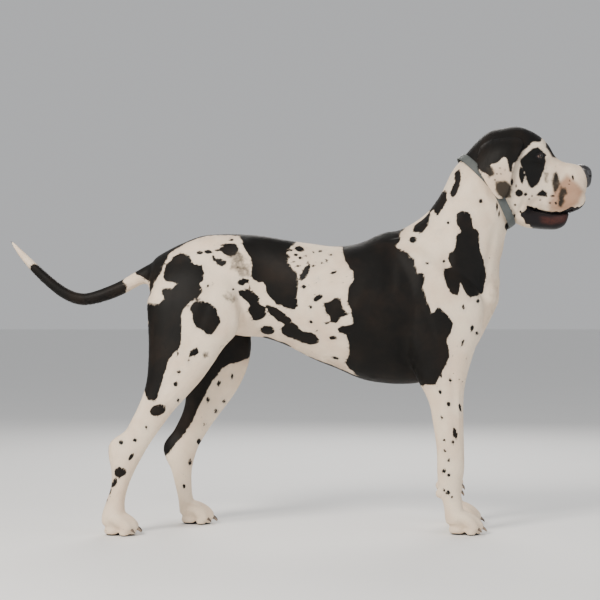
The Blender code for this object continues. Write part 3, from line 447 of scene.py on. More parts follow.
# The black patches of the right side as outlines in the photograph's pixels; the belly edge and the skull's
# lower end behind the ear also hold painted shade.
RIGHT_PATCHES = {
    "blanket": (
        (342, 240), (343, 252), (345, 261), (353, 272), (353, 281), (348, 289), (347, 301), (352, 312),
        (353, 321), (353, 331), (346, 335), (349, 343), (349, 355), (345, 363), (352, 371), (362, 380),
        (380, 388), (421, 385), (436, 385), (440, 373), (449, 361), (450, 351), (446, 340), (453, 331),
        (453, 323), (446, 313), (438, 306), (432, 315), (428, 303), (423, 287), (425, 279), (423, 273),
        (417, 273), (414, 259), (406, 252), (396, 247), (400, 241), (402, 226), (386, 222), (366, 230),
    ),
    "neck": (
        (455, 221), (457, 213), (462, 210), (471, 214), (473, 227), (479, 231), (480, 249), (484, 261),
        (486, 275), (483, 293), (470, 298), (464, 290), (461, 282), (458, 295), (452, 295), (446, 285),
        (443, 269), (452, 267), (448, 261), (449, 253), (455, 249), (456, 235), (462, 232),
    ),
    "nape streak": ((455, 172), (460, 169), (461, 180), (457, 194), (452, 199), (450, 193), (454, 184)),
    "nape": ((435, 203), (441, 194), (447, 191), (447, 201), (441, 211), (438, 217), (434, 213)),
    "low nape": ((413, 232), (415, 224), (420, 215), (431, 210), (430, 217), (428, 226), (422, 233)),
    "loin": (
        (240, 226), (241, 237), (243, 246), (248, 253), (252, 263), (251, 275), (255, 282), (264, 283),
        (266, 292), (275, 303), (287, 308), (295, 310), (298, 305), (297, 297), (299, 283), (297, 273),
        (291, 266), (287, 260), (287, 252), (292, 246), (299, 240), (298, 232), (262, 224),
    ),
    "loin slant": (
        (238, 291), (246.7, 289), (255, 293), (260, 298), (258, 303), (265, 306.7), (266.7, 315),
        (261.7, 319), (255, 321), (250, 315), (247.5, 310), (250, 305), (243, 299), (239, 295),
    ),
    "loin trail": (
        (266, 305), (278, 308), (287, 315), (293, 322), (303, 331), (313, 333), (319, 338), (318, 344),
        (310, 345), (301, 342), (291, 338), (282, 335), (281, 327), (285, 325), (278, 321), (270, 315),
    ),
    "flank blotch": (
        (324, 303), (330, 301), (334, 298), (341, 297), (342, 305), (345, 310), (349, 314), (342, 317),
        (336, 323), (331, 322), (330, 316), (325, 313),
    ),
    "rib blotch": ((337, 329), (342, 326), (355, 324), (356, 334), (346, 334), (339, 332)),
    "rump": (
        (182, 252), (190, 256), (193, 264), (202, 265), (204, 273), (203, 280), (199, 285), (203, 291),
        (201, 296), (192, 300), (183, 310), (181, 318), (182, 328), (180, 348), (171, 356), (166, 366),
        (162, 382), (156, 401), (148, 400), (144, 392), (147, 372), (147, 350), (148, 320), (146, 303),
        (153, 303), (160, 305), (161, 301), (166, 298), (161, 293), (163, 288), (172, 288), (178, 283),
        (165, 281), (163, 276), (165, 266), (172, 258),
    ),
    "tail root": (
        (138, 262), (136, 273), (143, 277), (150, 282), (149, 292), (144, 300), (150, 296), (155, 281),
        (161, 273), (165, 264), (169, 254), (186, 243), (196, 238), (190, 232), (160, 245),
    ),
    "croup edge": ((186, 243), (202, 237), (212, 235), (240, 236), (240, 226), (190, 230)),
    "tail": (
        (37, 261), (31, 277), (50, 300), (80, 314), (110, 308), (128, 300), (125, 268), (100, 280),
        (80, 282), (60, 274), (46, 262),
    ),
    "thigh round": (
        (194, 301.7), (201.7, 300.8), (207.5, 302.5), (213, 305), (217.5, 310), (218, 315.8),
        (221.7, 320.8), (217.5, 326.7), (211.7, 335), (206.7, 334), (201.7, 330), (195.8, 326.7),
        (192.5, 321.7), (191.7, 313), (189, 307.5),
    ),
    "thigh drop": ((191, 349), (197, 347), (199, 352), (195, 356), (191, 358), (188, 363), (189, 355)),
    "croup": (
        (218, 246.7), (223, 243.7), (230, 243), (236.7, 244), (239, 250), (236.7, 254), (230, 256.7),
        (224, 254), (220.8, 250),
    ),
    "low croup": (
        (213, 255), (216, 258), (221, 259), (226.7, 261.7), (225.8, 265), (221, 266.7), (216, 263),
        (212.5, 261),
    ),
    "below the croup": ((236.7, 278), (241.7, 277.5), (249, 280), (250, 283), (245, 286.7), (238, 284)),
    # The belly edge strip is partly black coat and partly painted shade under the belly, drawn in black.
    "belly edge black and shade": ((290, 351), (310, 358), (330, 366), (352, 374), (366, 384), (330, 380), (295, 362)),
    # The skull patch's lower end behind the ear, down towards the collar, is partly a black patch and partly
    # the ear's painted shadow on the neck.
    "skull": (
        (458, 164), (461, 158), (470, 146), (482, 135), (500, 125), (524, 120), (536, 126), (543, 136),
        (541, 142), (533, 142), (528, 147), (522, 152), (517, 161), (513, 164), (512, 173), (509, 172),
        (508, 163), (506, 157), (503, 157), (499, 162), (495, 163), (491, 164), (491, 177), (484, 173),
        (476, 167), (468, 160),
    ),
    "eye": (
        (528, 152), (533, 148), (538, 147), (543, 151), (545, 156), (546, 162), (544, 170), (541, 178),
        (538, 184), (534, 188), (531, 189), (528, 185), (526, 178), (524, 171), (521, 166), (520, 161),
        (524, 156),
    ),
    "stop streak": ((546, 141), (550, 144), (554, 150), (557, 158), (552, 157), (549, 152), (546, 147)),
    "cheek wedge": ((535, 196), (539, 192), (543, 189), (547, 193), (547, 197), (541, 196)),
}
# The left side wasn't seen: its patches are made in the same manner, in pixels of the mirrored view.
LEFT_PATCHES = {
    "spine": (
        (138, 262), (150, 276), (165, 264), (182, 254), (200, 251), (240, 247), (262, 252), (296, 248),
        (325, 256), (350, 252), (404, 240), (404, 222), (350, 232), (300, 228), (240, 224), (190, 228),
    ),
    "saddle": (
        (330, 236), (352, 226), (403, 222), (412, 236), (405, 262), (391, 291), (384, 318), (366, 333),
        (352, 325), (338, 352), (320, 350), (306, 338), (313, 311), (300, 292), (311, 268), (322, 252),
    ),
    "shoulder": (
        (428, 268), (440, 274), (452, 290), (463, 300), (468, 331), (459, 360), (441, 372), (431, 352),
        (437, 333), (420, 318), (417, 292),
    ),
    "rump": (
        (186, 238), (230, 224), (288, 228), (299, 243), (284, 262), (262, 270), (243, 298), (226, 331),
        (207, 343), (190, 330), (181, 300), (190, 282), (175, 266),
    ),
    "thigh": ((158, 330), (172, 338), (186, 356), (188, 378), (176, 398), (166, 390), (158, 360)),
    "belly": ((262, 330), (286, 322), (300, 340), (290, 352), (270, 349)),
    # The belly edge strip is partly black coat and partly painted shade under the belly, drawn in black.
    "belly edge black and shade": ((296, 352), (330, 362), (400, 378), (424, 380), (424, 392), (330, 382), (295, 362)),
    "neck": (
        (426, 208), (449, 184), (463, 176), (476, 194), (486, 222), (481, 250), (463, 262), (452, 248),
        (446, 232), (434, 222),
    ),
    "tail root": RIGHT_PATCHES["tail root"],
    "tail": RIGHT_PATCHES["tail"],
    "skull": (
        (458, 160), (466, 149), (480, 136), (500, 123), (524, 120), (536, 128), (534, 140), (524, 150),
        (518, 166), (511, 190), (500, 196), (489, 184), (474, 168),
    ),
    "eye": (
        (528, 143), (538, 141), (549, 146), (553, 156), (546, 166), (538, 172), (530, 168), (525, 156),
    ),
    "cheek": ((520, 178), (530, 184), (532, 196), (524, 202), (515, 194)),
    "stop streak": ((543, 138), (551, 141), (557, 150), (560, 160), (555, 163), (548, 157), (543, 148)),
}
# The inner side of the far hind leg shows between the legs.
FAR_LEG_PATCHES = {
    "inside": (
        (262, 320), (253, 337), (250, 357), (240, 362), (230, 364), (221, 370), (213, 380), (207, 391),
        (200, 404), (194, 418), (186, 432), (176, 444), (166, 456), (158, 452), (166, 430), (178, 404),
        (190, 376), (196, 350), (200, 310),
    ),
}

# Small spots: column, row, half its length, half its height and its slant in degrees.
RIGHT_SPOTS = (
    (305.5, 272.5, 3.2, 9.5, 27), (334, 271.7, 3, 2, -35), (317, 279, 1.8, 1.8, 0),
    (304, 286.7, 2.2, 2, 0), (318, 298, 5.2, 2.8, -32), (311, 307, 1.3, 1.4, 0),
    (311, 321.7, 1.6, 1.5, 0), (327, 323, 2.4, 1.4, 0), (317, 331, 1.2, 1.2, 0),
    (333, 338, 3.8, 2.4, 0), (336, 358, 4.2, 1.4, 18), (349, 361, 3.2, 1.6, 12),
    (300, 249, 5, 3, 15), (296, 255, 1.8, 1.4, 0), (291, 250, 2, 1.2, 0), (294, 262, 1.6, 1.2, 0),
    (300, 258, 1.6, 1.6, 0), (289, 257, 1.4, 1.8, 0), (306, 256, 1.4, 1.2, 0), (313, 252, 1.3, 1, 0),
    (320, 251.5, 2.6, 1.1, -15), (318, 256, 1.3, 1, 0), (327, 261, 1.3, 2.4, 10), (298, 266, 2, 1, 0),
    (331, 255, 1.2, 1, 0), (308, 262, 1.2, 1, 0), (313, 266, 1.1, 1.2, 0), (322, 263, 1, 1.2, 0),
    (231, 239.5, 2.6, 1.6, 0), (199.5, 252.5, 3.5, 2, 0), (208.5, 252, 3.3, 2, 0),
    (233, 289.5, 2, 1.3, 0), (267.5, 330, 7, 4.4, 8), (208, 286, 1, 1.2, 0),
    (178.5, 355, 2.6, 1, 0), (179, 372, 2.4, 1.6, -15), (176, 384, 2.2, 2.6, 10),
    (158, 410, 8.4, 5.4, -18), (160, 370, 9, 4.5, -40), (121, 442, 2, 2.4, 0), (135, 440, 1.8, 1.6, 0),
    (131, 457, 1.8, 4.8, 35), (120, 472, 6, 5, -20), (114, 483, 2.2, 5, 25), (110, 491, 1.5, 3.4, 20),
    (178, 400, 1.5, 2, 0), (146, 427, 1.6, 2, 0), (127, 425, 1.2, 1.4, 0), (106, 500, 1.4, 1.8, 0),
    (421, 277, 4, 4, 0), (427, 263, 1.6, 1.6, 0), (444, 261.4, 1.7, 1.6, 0), (448, 223, 1.1, 1.2, 0),
    (439, 232, 1.2, 1.2, 0), (481, 201, 1.6, 2, 0), (463.5, 307, 1.7, 3, 0), (478, 301, 1.7, 2.2, 0),
    (472, 328, 1.8, 3.2, 0), (477, 333, 1.5, 1.6, 0), (463, 343, 1.8, 3.6, 30), (466, 357, 1.1, 2.2, 0),
    (443, 377, 1.7, 1.8, 0), (450, 380, 1.7, 1.8, 0), (440, 392, 1.8, 2.2, 0), (449, 404, 1.8, 2, 0),
    (460, 408, 1.3, 4, -8), (442, 417, 1.4, 1.8, 0), (455, 433, 2.4, 6, -12), (453, 442, 1.8, 2, 0),
    (444, 440, 1.4, 1.6, 0), (445, 451, 1.4, 1.6, 0), (449, 460, 1.5, 1.6, 0), (444, 471, 1.8, 2, 0),
    (449, 475, 1.6, 1.8, 0), (448, 493, 2.4, 2, 0), (444, 490, 1.2, 1.6, 0), (452, 497, 1.3, 1.4, 0),
    (413, 239.5, 4, 3.2, -20), (409, 223, 1.5, 1.2, 0),
    (519, 193, 4, 3.8, 0), (525.5, 194.5, 1.8, 1.6, 0), (552.5, 196, 2.2, 1.2, 0),
    (556, 178, 1.6, 4.6, 14), (561, 200, 1.5, 5, 14),
    (521.5, 175, 2.5, 8.5, -4), (569, 184, 0.9, 4, 8), (550, 203, 1.2, 1, 0), (529, 199, 1, 1, 0),
    (573, 178, 1, 3, -10),
    (515, 205, 1.6, 1.2, 0), (501, 174, 0.9, 0.9, 0), (495, 180, 0.8, 0.8, 0), (505, 170, 0.8, 1, 0),
    (500, 168, 0.8, 0.8, 0), (497, 174, 0.7, 0.7, 0), (512, 182, 1.2, 3.4, 0), (516, 186, 0.9, 1.6, 0),
    (497, 207, 1.0, 4.6, 0), (499, 214, 0.9, 3.0, 5), (511, 213, 1.2, 3, 0), (514, 216, 1, 2, 20),
    # The spot at column 508, row 226, under the throat is partly a black spot and partly painted shade under
    # the throat.
    (508, 226, 3, 4.6, 20), (532, 196, 0.9, 0.9, 0), (540, 200, 0.8, 0.8, 0), (556, 203, 1, 1.6, 0),
)
LEFT_SPOTS = (
    (300, 272, 4, 3, 15), (288, 284, 3, 4, 0), (270, 296, 4, 3, 20), (282, 306, 3, 2.4, 0),
    (255, 318, 3.6, 2.6, 10), (292, 318, 2, 2, 0), (420, 250, 3.4, 4, 10), (430, 240, 2.2, 2.6, 0),
    (414, 352, 3, 4, 0), (402, 340, 4.4, 3, 20), (396, 362, 2.6, 2.2, 0), (372, 352, 4, 3, 0),
    (410, 300, 2.2, 3, 0), (476, 276, 3, 4.6, 10), (484, 300, 2.4, 2.6, 0), (470, 372, 2.2, 3, 0),
    (452, 388, 3.2, 4, 10), (461, 402, 2, 2.6, 0), (446, 420, 2.6, 3, 0), (456, 436, 2, 3.8, 0),
    (447, 450, 1.8, 2.2, 0), (454, 466, 2.4, 2.2, 0), (448, 484, 2, 2.4, 0), (205, 362, 4, 5, 10),
    (219, 372, 2.6, 3, 0), (196, 392, 3, 3.8, 10), (212, 396, 2.2, 2.8, 0), (202, 414, 3.4, 2.6, 0),
    (193, 430, 2.2, 3, 0), (185, 452, 3, 3.6, 0), (181, 474, 2.4, 3.8, 0), (190, 492, 2, 2.4, 0),
    (165, 300, 4, 5, 0), (236, 340, 4, 3, 0), (246, 352, 2.4, 2, 0), (530, 200, 2, 2, 0),
    (544, 186, 3, 2.4, 0), (556, 190, 2, 4, -10), (551, 200, 1.6, 1.4, 0), (562, 180, 1.6, 4, -10),
    (568, 196, 1.6, 2.4, 0), (495, 210, 3, 4, 0), (470, 300, 3, 2.4, 0), (240, 276, 2, 2, 0),
)
FAR_LEG_SPOTS = (
    (219, 383, 2.2, 3.4, 10), (224, 401, 2, 2.6, 0), (216, 411, 2.4, 2.4, 0), (208, 400, 1.8, 2.4, 0),
    (199, 442, 2.4, 3.2, 0), (205, 424, 1.8, 2, 0), (190, 462, 1.8, 3, 0), (184, 486, 2, 2.6, 0),
    (232, 376, 1.8, 2.6, 0),
)

# Soft grey and brown places of the right side, where black and white hair mix.
MOTTLES = {
    "croup": (0.56, ((229, 254), (238, 250), (246, 256), (250, 266), (250, 277), (240, 277), (231, 268))),
    "thigh": (0.52, ((222, 294), (231, 293), (238, 299), (234, 303), (225, 301))),
    "groin": (0.70, ((202, 353), (208, 352), (209, 357), (204, 358))),
    "ear tip": (1.0, ((496, 182), (504, 180), (511, 186), (511, 197), (503, 199), (496, 192))),
    "ear smudge": (0.9, ((487, 168), (492, 167), (495, 175), (489, 178))),
    "cheek": (
        0.95,
        ((553, 174), (556, 172), (558, 177), (560, 183), (558, 189), (555, 193), (553, 188), (552, 179)),
    ),
    "muzzle": (
        0.95,
        ((561, 187), (566, 188), (567, 193), (563, 197), (565, 202), (562, 207), (559, 206), (558, 196)),
    ),
    "under the eye": (0.7, ((544, 172), (548, 173), (548, 183), (545, 182))),
}

# Bare black skin of the lips and the dark red brown of the muzzle, as outlines in the same pixels.
LIP_PATCHES = {
    "upper lip": (
        (570, 208), (577, 204), (583, 198), (585, 190), (594, 188), (594, 204), (582, 216), (568, 216),
    ),
    "lower jaw": (
        (521, 208), (526, 205), (533, 207), (541, 211), (552, 213), (572, 210), (580, 216), (566, 236),
        (534, 236), (532, 227), (525, 222), (520, 215),
    ),
}
RED_PATCHES = {
    "lower lip": ((541, 216), (552, 217), (567, 214), (569, 219), (564, 223), (550, 225), (541, 223)),
}
PINK_PATCHES = {
    "muzzle end": (
        (550, 200), (557, 186), (567, 176), (577, 184), (583, 191), (578, 203), (568, 211), (550, 211),
    ),
}
# Where the coat is thin and the skin shows pink: place, reach, strength.
BARE_PLACES = (
    ((-120, 60, 480), (70, 60, 40), 0.9),
    ((-60, 0, 490), (120, 50, 26), 0.7),
    ((-330, 60, 470), (60, 40, 90), 0.6),
    ((60, 0, 440), (120, 50, 20), 0.45),
    ((300, 60, 400), (40, 40, 30), 0.5),
    ((520, 90, 915), (36, 30, 50), 0.75),
    ((740, 0, 915), (26, 60, 30), 0.55),
    ((650, 44, 975), (14, 14, 10), 0.4),
)

# Sizes of the skin's mesh: each lens is looked at closer, its scale finer than the rest.
LENSES = (
    ((625, 0, 930), 165.0, 2.9),
    ((412, 0, 40), 120.0, 1.5),
    ((-390, 0, 40), 160.0, 1.4),
)
VOXEL = 5.2
SKIN_TRIANGLES = 172000
LOFT_STEP = 7.0
LOFT_SIDES = 48
TRUNK_SIDES = 72
NECK_SIDES = 64
TAIL_SIDES = 32
HEAD_STEP = 4
EAR_STEP = 6
EAR_SIDES = 40
FUSE_ROUNDS = 4
SKIN_ROUNDS = 2

# Where the skin's mesh is split finer, in millimetres, spots in pixels.
LID_NEAR = 23
LID_CLOSE = 19
MOUTH_NEAR = 9
MOUTH_REAR = 585
SPOT_NEAR = -2.0
FACE_SPOT_EDGE = 1.2
HEAD_REAR = 500
HEAD_LOW = 800

# Balls added to the flesh: the place with y to the side, and the radii.
WRIST_PAD = ((361, 100, 106), (13, 12, 14))
DEWCLAW_ROOT = ((413, 78, 118), (14, 9, 12))
BREAST_POINT = ((489, 34, 622), (32, 34, 46))
UPPER_LIP = ((712, 22, 880), (44, 24, 36))


def mm(*values):
    return Vector(values) * MM


def smoothed(rows, step):
    """Rings read from a smooth curve through the given ones, about step apart."""
    rows = np.asarray(rows, float)
    padded = np.vstack([2 * rows[0] - rows[1], rows, 2 * rows[-1] - rows[-2]])
    found = [rows[0]]
    for i in range(1, len(padded) - 2):
        p0, p1, p2, p3 = padded[i - 1 : i + 3]
        gap = np.linalg.norm(((p2 - p1)[:4]).reshape(2, 2).mean(0))
        count = max(1, math.ceil(gap / step))
        for t in np.arange(1, count + 1) / count:
            linear, square, cube = p2 - p0, 2 * p0 - 5 * p1 + 4 * p2 - p3, 3 * p1 - p0 - 3 * p2 + p3
            found.append(0.5 * (2 * p1 + linear * t + square * t * t + cube * t**3))
    return np.array(found)


def ring_point(angle, row, side):
    """The place on a ring at this angle, 90 degrees being end a."""
    ax, az, bx, bz, half, y, widest, square_a, square_b, bow = row
    along, across = math.sin(angle), math.cos(angle)
    square = square_a if along >= 0 else square_b
    along = math.copysign(abs(along) ** (2 / square), along)
    across = math.copysign(abs(across) ** (2 / square), across)
    share = widest + along * ((1 - widest) if along >= 0 else widest)
    level = y + bow * (1 - (2 * share - 1) ** 2)
    x = bx + (ax - bx) * share
    z = bz + (az - bz) * share
    return mm(x, side * level + abs(half) * across, z)


def loft(bm, rows, side=1, step=LOFT_STEP, sides=LOFT_SIDES):
    """One closed tube through the rings, extruded ring by ring."""
    angle = bm.verts.layers.float.get("angle") or bm.verts.layers.float.new("angle")
    table = smoothed(rows, step)
    loop = bmesh.ops.create_circle(bm, cap_ends=True, radius=1, segments=sides)["verts"]
    for v in loop:
        v[angle] = math.atan2(v.co.y, v.co.x)
    edges = list({e for v in loop for e in v.link_edges})
    for i, row in enumerate(table):
        if i:
            made = bmesh.ops.extrude_edge_only(bm, edges=edges)["geom"]
            loop = [g for g in made if isinstance(g, bmesh.types.BMVert)]
            new = set(loop)
            edges = [e for e in made if isinstance(e, bmesh.types.BMEdge) and new >= set(e.verts)]
        for v in loop:
            v.co = ring_point(v[angle], row, side)
    bmesh.ops.contextual_create(bm, geom=edges)


def ball(bm, centre, radii, turn=0.0, segments=32):
    """An ellipsoid, turned about the vertical."""
    place = Matrix.Translation(mm(*centre)) @ Matrix.Rotation(turn, 4, "Z")
    place = place @ Matrix.Diagonal((*mm(*radii), 1))
    bmesh.ops.create_uvsphere(bm, u_segments=segments, v_segments=segments // 2, radius=1, matrix=place)


def tube_rows(line, y=0.0, flat=1.0):
    """Rings of a tube along (x, z, radius) points in profile, y off the middle, flat across."""
    rows = []
    for i, (x, z, radius) in enumerate(line):
        before, after = line[max(i - 1, 0)], line[min(i + 1, len(line) - 1)]
        run = Vector((after[0] - before[0], after[1] - before[1])).normalized()
        up = Vector((run.y, -run.x)) * radius
        rows.append((x + up.x, z + up.y, x - up.x, z - up.y, radius * flat, y))
    return rings("ax az bx bz half y", rows)


def toe_places(heel, y):
    """(middle across, tip's place along, radius) of each toe of a foot."""
    return [(y + a * FOOT_WIDTH, heel + reach * FOOT_LENGTH, r) for a, reach, r in TOES]


def foot(bm, heel, y):
    """Four arched toes, the pads under them and the heel pad."""
    first = TOE_PATH[0][0]
    for across, tip, radius in toe_places(heel, y):
        root = heel + first * FOOT_LENGTH
        path = []
        for share, height, thick in TOE_PATH:
            along = (share - first) / (1 - first)
            path.append((root + along * (tip - root), height, thick * radius))
        rows = tube_rows(path, y=across)
        inward = np.linspace(0.16, 0.0, len(rows))
        rows[:, RING_FIELDS.index("y")] += (y - across) * inward
        loft(bm, rows, step=4, sides=24)
        ball(bm, (tip - 15, across, 9), (14, radius * 0.80, 11))
    ball(bm, (heel + 0.36 * FOOT_LENGTH, y, 12), (25, 27, 16))
    ball(bm, (heel + 0.42 * FOOT_LENGTH, y, 36), (30, 32, 26))


def fore_lead(side):
    return FORE_LEAD if side > 0 else 0


def led(rows, lead):
    """Rings moved along, the lower the more, as a leg set a little ahead of its fellow."""
    moved = rows.copy()
    for x, z in ((0, 1), (2, 3)):
        moved[:, x] += lead * np.clip((700 - moved[:, z]) / 300, 0, 1)
    return moved


def flesh_forms():
    """(maker, arguments, words) of every mass of muscle, bone and fat; each runs into its neighbours."""
    forms = [
        (loft, (TRUNK,), {"sides": TRUNK_SIDES}),
        (loft, (NECK,), {"sides": NECK_SIDES}),
        (loft, (HEAD,), {"step": HEAD_STEP, "sides": NECK_SIDES}),
        (loft, (JAW,), {"step": HEAD_STEP}),
        (loft, (tube_rows(TAIL),), {"sides": TAIL_SIDES}),
    ]
    for name, side in SIDES.items():
        hind, heel = HINDLEGS[name]
        lead = fore_lead(side)
        forms.append((loft, (led(FORELEG, lead),), {"side": side}))
        forms.append((loft, (hind,), {"side": side}))
        forms.append((foot, (FORE_HEEL + lead, side * FORE_Y), {}))
        forms.append((foot, (heel, side * HIND_Y), {}))
        lids = (EYE_CENTRE, (LID_RADIUS,) * 3)
        balls = ((WRIST_PAD, lead), (DEWCLAW_ROOT, lead), (BREAST_POINT, 0), (lids, 0), (UPPER_LIP, 0))
        for ((x, y, z), radii), ahead in balls:
            forms.append((ball, ((x + ahead, side * y, z), radii), {}))
    return forms


def make_flesh():
    """The forms of the flesh as one mesh object, not yet fused."""
    return join([built("form", make, *args, **words) for make, args, words in flesh_forms()], "flesh")


def mesh_object(name, mesh):
    obj = bpy.data.objects.new(name, mesh)
    bpy.context.scene.collection.objects.link(obj)
    return obj


def built(name, make, *args, **words):
    """An object of what make adds to an empty bmesh, with its faces pointing out."""
    bm = bmesh.new()
    make(bm, *args, **words)
    bmesh.ops.recalc_face_normals(bm, faces=bm.faces)
    mesh = bpy.data.meshes.new(name)
    bm.to_mesh(mesh)
    bm.free()
    return mesh_object(name, mesh)


def settle(obj):
    """Applies the object's modifiers."""
    graph = bpy.context.evaluated_depsgraph_get()
    mesh = bpy.data.meshes.new_from_object(obj.evaluated_get(graph))
    old = obj.data
    obj.modifiers.clear()
    obj.data = mesh
    bpy.data.meshes.remove(old)


def drop(obj):
    mesh = obj.data
    bpy.data.objects.remove(obj)
    bpy.data.meshes.remove(mesh)


def coords(mesh, kind="co"):
    flat = np.empty(len(mesh.vertices) * 3)
    source = mesh.vertices if kind == "co" else mesh.vertex_normals
    source.foreach_get("co" if kind == "co" else "vector", flat)
    return flat.reshape(-1, 3)


def move_to(mesh, co):
    mesh.vertices.foreach_set("co", np.ascontiguousarray(co).ravel())
    mesh.update()


def tree_of(obj):
    bm = bmesh.new()
    bm.from_mesh(obj.data)
    tree = BVHTree.FromBMesh(bm)
    bm.free()
    return tree


def lens_list():
    """The lenses with their middles where the ones before have moved them."""
    found = []
    for centre, reach, scale in LENSES:
        place = magnify(np.array([centre], float) * MM, found)[0]
        found.append((place, reach * MM, scale))
    return found


def magnify(co, lenses):
    """Moves points away from each lens's middle, so that what is near it grows."""
    for centre, reach, scale in lenses:
        off = co - centre
        r = np.linalg.norm(off, axis=1)
        grown = np.where(r < reach, r * scale, r + reach * (scale - 1))
        co = centre + off * (grown / np.maximum(r, 1e-9))[:, None]
    return co


def shrink_back(co, lenses):
    """The way back from magnify."""
    for centre, reach, scale in reversed(lenses):
        off = co - centre
        r = np.linalg.norm(off, axis=1)
        less = np.where(r < reach * scale, r / scale, r - reach * (scale - 1))
        co = centre + off * (less / np.maximum(r, 1e-9))[:, None]
    return co


def fuse(obj, voxel, rounds):
    """Fuses overlapping forms into one skin, finer inside the lenses, and smooths where they meet."""
    lenses = lens_list()
    move_to(obj.data, magnify(coords(obj.data), lenses))
    remesh = obj.modifiers.new("skin", "REMESH")
    remesh.mode = "VOXEL"
    remesh.voxel_size = voxel
    settle(obj)
    move_to(obj.data, shrink_back(coords(obj.data), lenses))
    soften(obj, rounds)


def soften(obj, rounds):
    smooth = obj.modifiers.new("soften", "SMOOTH")
    smooth.factor = 0.5
    smooth.iterations = rounds
    settle(obj)


def bump_at(co, centre, reach):
    """How much each point belongs to a round place, 1 at its middle."""
    off = (co - np.array(centre, float)) / np.array(reach, float)
    return np.exp(-(off**2).sum(1))


def path_distance(points, path):
    """The distance of flat points from a path and how far along it the nearest place is."""
    path = np.asarray(path, float)
    best = np.full(len(points), 1e9)
    along = np.zeros(len(points))
    for i, (a, b) in enumerate(zip(path, path[1:])):
        run = b - a
        t = np.clip(((points - a) @ run) / (run @ run), 0, 1)
        d = np.linalg.norm(points - a - t[:, None] * run, axis=1)
        nearer = d < best
        best[nearer] = d[nearer]
        along[nearer] = ((i + t) / (len(path) - 1))[nearer]
    return best, along


def form_push(co):
    """How far the named dents and swellings push the skin out at each point, in millimetres."""
    push = np.zeros(len(co))
    for centre, reach, depth in FORMS.values():
        for side in (1, -1) if centre[1] else (1,):
            push += depth * bump_at(co, np.array(centre) * (1, side, 1), reach)
    for x, y, z in NIPPLES:
        for side in SIDES.values():
            push += NIPPLE_RISE * bump_at(co, (x, side * y, z), NIPPLE_REACH)
    reach, depth = HOCK_HOLLOW
    for name, (x, z) in HOCKS.items():
        for across in (-15, 15):
            push += depth * bump_at(co, (x, SIDES[name] * HIND_Y + across, z), reach)
    return push


# How far the left legs' creases lie ahead of the right ones: hind and fore.
LEG_SHIFT = {"right": (0, 0), "left": (130, 17)}
SHIFT_TOP = 620
SHIFT_OVER = 260
LEGS_PART = -60
CREASE_ENDS = 0.22
CREASE_ACROSS = 26.0
RIB_FADE = {"low": 40, "high": 60, "inner": 40}
FLOOR_CLEAR = 0.2


def crease_push(co):
    """How far creases, ridges and ribs push the skin, in millimetres."""
    push = np.zeros(len(co))
    for name, side in SIDES.items():
        outer = side * co[:, 1]
        flat = co[:, [0, 2]].copy()
        hind_shift, fore_shift = LEG_SHIFT[name]
        low = np.clip((SHIFT_TOP - flat[:, 1]) / SHIFT_OVER, 0, 1)
        flat[:, 0] -= np.where(flat[:, 0] < LEGS_PART, hind_shift, fore_shift) * low
        for path, depth_at, width, height in CREASES.values():
            distance, along = path_distance(flat, path)
            taper = np.clip(np.minimum(along, 1 - along) / CREASE_ENDS, 0, 1)
            place = np.exp(-((outer - depth_at) / CREASE_ACROSS) ** 2)
            push += height * np.exp(-((distance / width) ** 2)) * taper * place
        for i in range(RIBS["count"]):
            x = RIBS["first"] + i * RIBS["step"]
            lean = x - RIBS["lean"] * (co[:, 2] - RIBS["low"])
            high = np.clip((co[:, 2] - RIBS["low"]) / RIB_FADE["low"], 0, 1)
            high = high * np.clip((RIBS["high"] - co[:, 2]) / RIB_FADE["high"], 0, 1)
            rib = np.exp(-(((co[:, 0] - lean) / RIBS["width"]) ** 2)) * high * (outer > RIB_FADE["inner"])
            push += RIBS["rise"] * rib
    return push


# The line of the mouth: where it starts and ends, its crease and the roll of the lips beside it.
MOUTH = {"rear": 590, "rear_fade": 12, "front": 726, "front_fade": 6, "inner": 8, "corner": 0.10}
LIP_CREASE = (-9.0, 2.3)
LIP_ROLL = (1.6, 6, 3.4)


def lip_push(co):
    """The line of the mouth as a deep, narrow crease with rolled edges."""
    distance, along = path_distance(co[:, [0, 2]], LIP_LINE)
    near = np.clip((co[:, 0] - MOUTH["rear"]) / MOUTH["rear_fade"], 0, 1)
    near = near * (np.abs(co[:, 1]) > MOUTH["inner"])
    ends = np.clip(along / MOUTH["corner"], 0.0, 1)
    depth, narrow = LIP_CREASE
    deep = depth * np.exp(-((distance / narrow) ** 2))
    rise, beside, wide = LIP_ROLL
    rolled = rise * np.exp(-(((distance - beside) / wide) ** 2))
    front = np.clip((MOUTH["front"] - co[:, 0]) / MOUTH["front_fade"], 0, 1)
    return (deep + rolled) * near * ends * front


def eye_frame(side):
    """The eye's own frame: long axis of the lids, up, and the way it looks."""
    turn = Matrix.Rotation(side * GAZE, 4, "Z") @ Matrix.Rotation(math.pi / 2, 4, "Y")
    turn = turn @ Matrix.Rotation(math.pi / 2 - side * LID_ROLL, 4, "Z")
    x, y, z = EYE_CENTRE
    return np.array(turn.to_3x3()), np.array((x, side * y, z), float)


def lid_measure(local):
    """1 on the rim of the lids, less inside the opening, more outside it."""
    long, high = LID_OPENING
    u = np.abs(local[:, 0]) / long
    height = high * (1 - LID_TAPER * np.minimum(u, 1) ** 2)
    height = np.where(local[:, 1] > 0, height * UPPER_LID, height)
    return np.hypot(u, local[:, 1] / height)


# The lids, in millimetres and in shares of the opening.
LID_REACH = 34
LID_STANDS = 1.9
LID_BLEND = 1.1
LID_CREASE = (-1.5, 1.75, 0.22)
LID_CREASE_END = (2.4, 0.4)
LID_EDGE = (1.02, 0.12)
LID_UNDER = 2.2


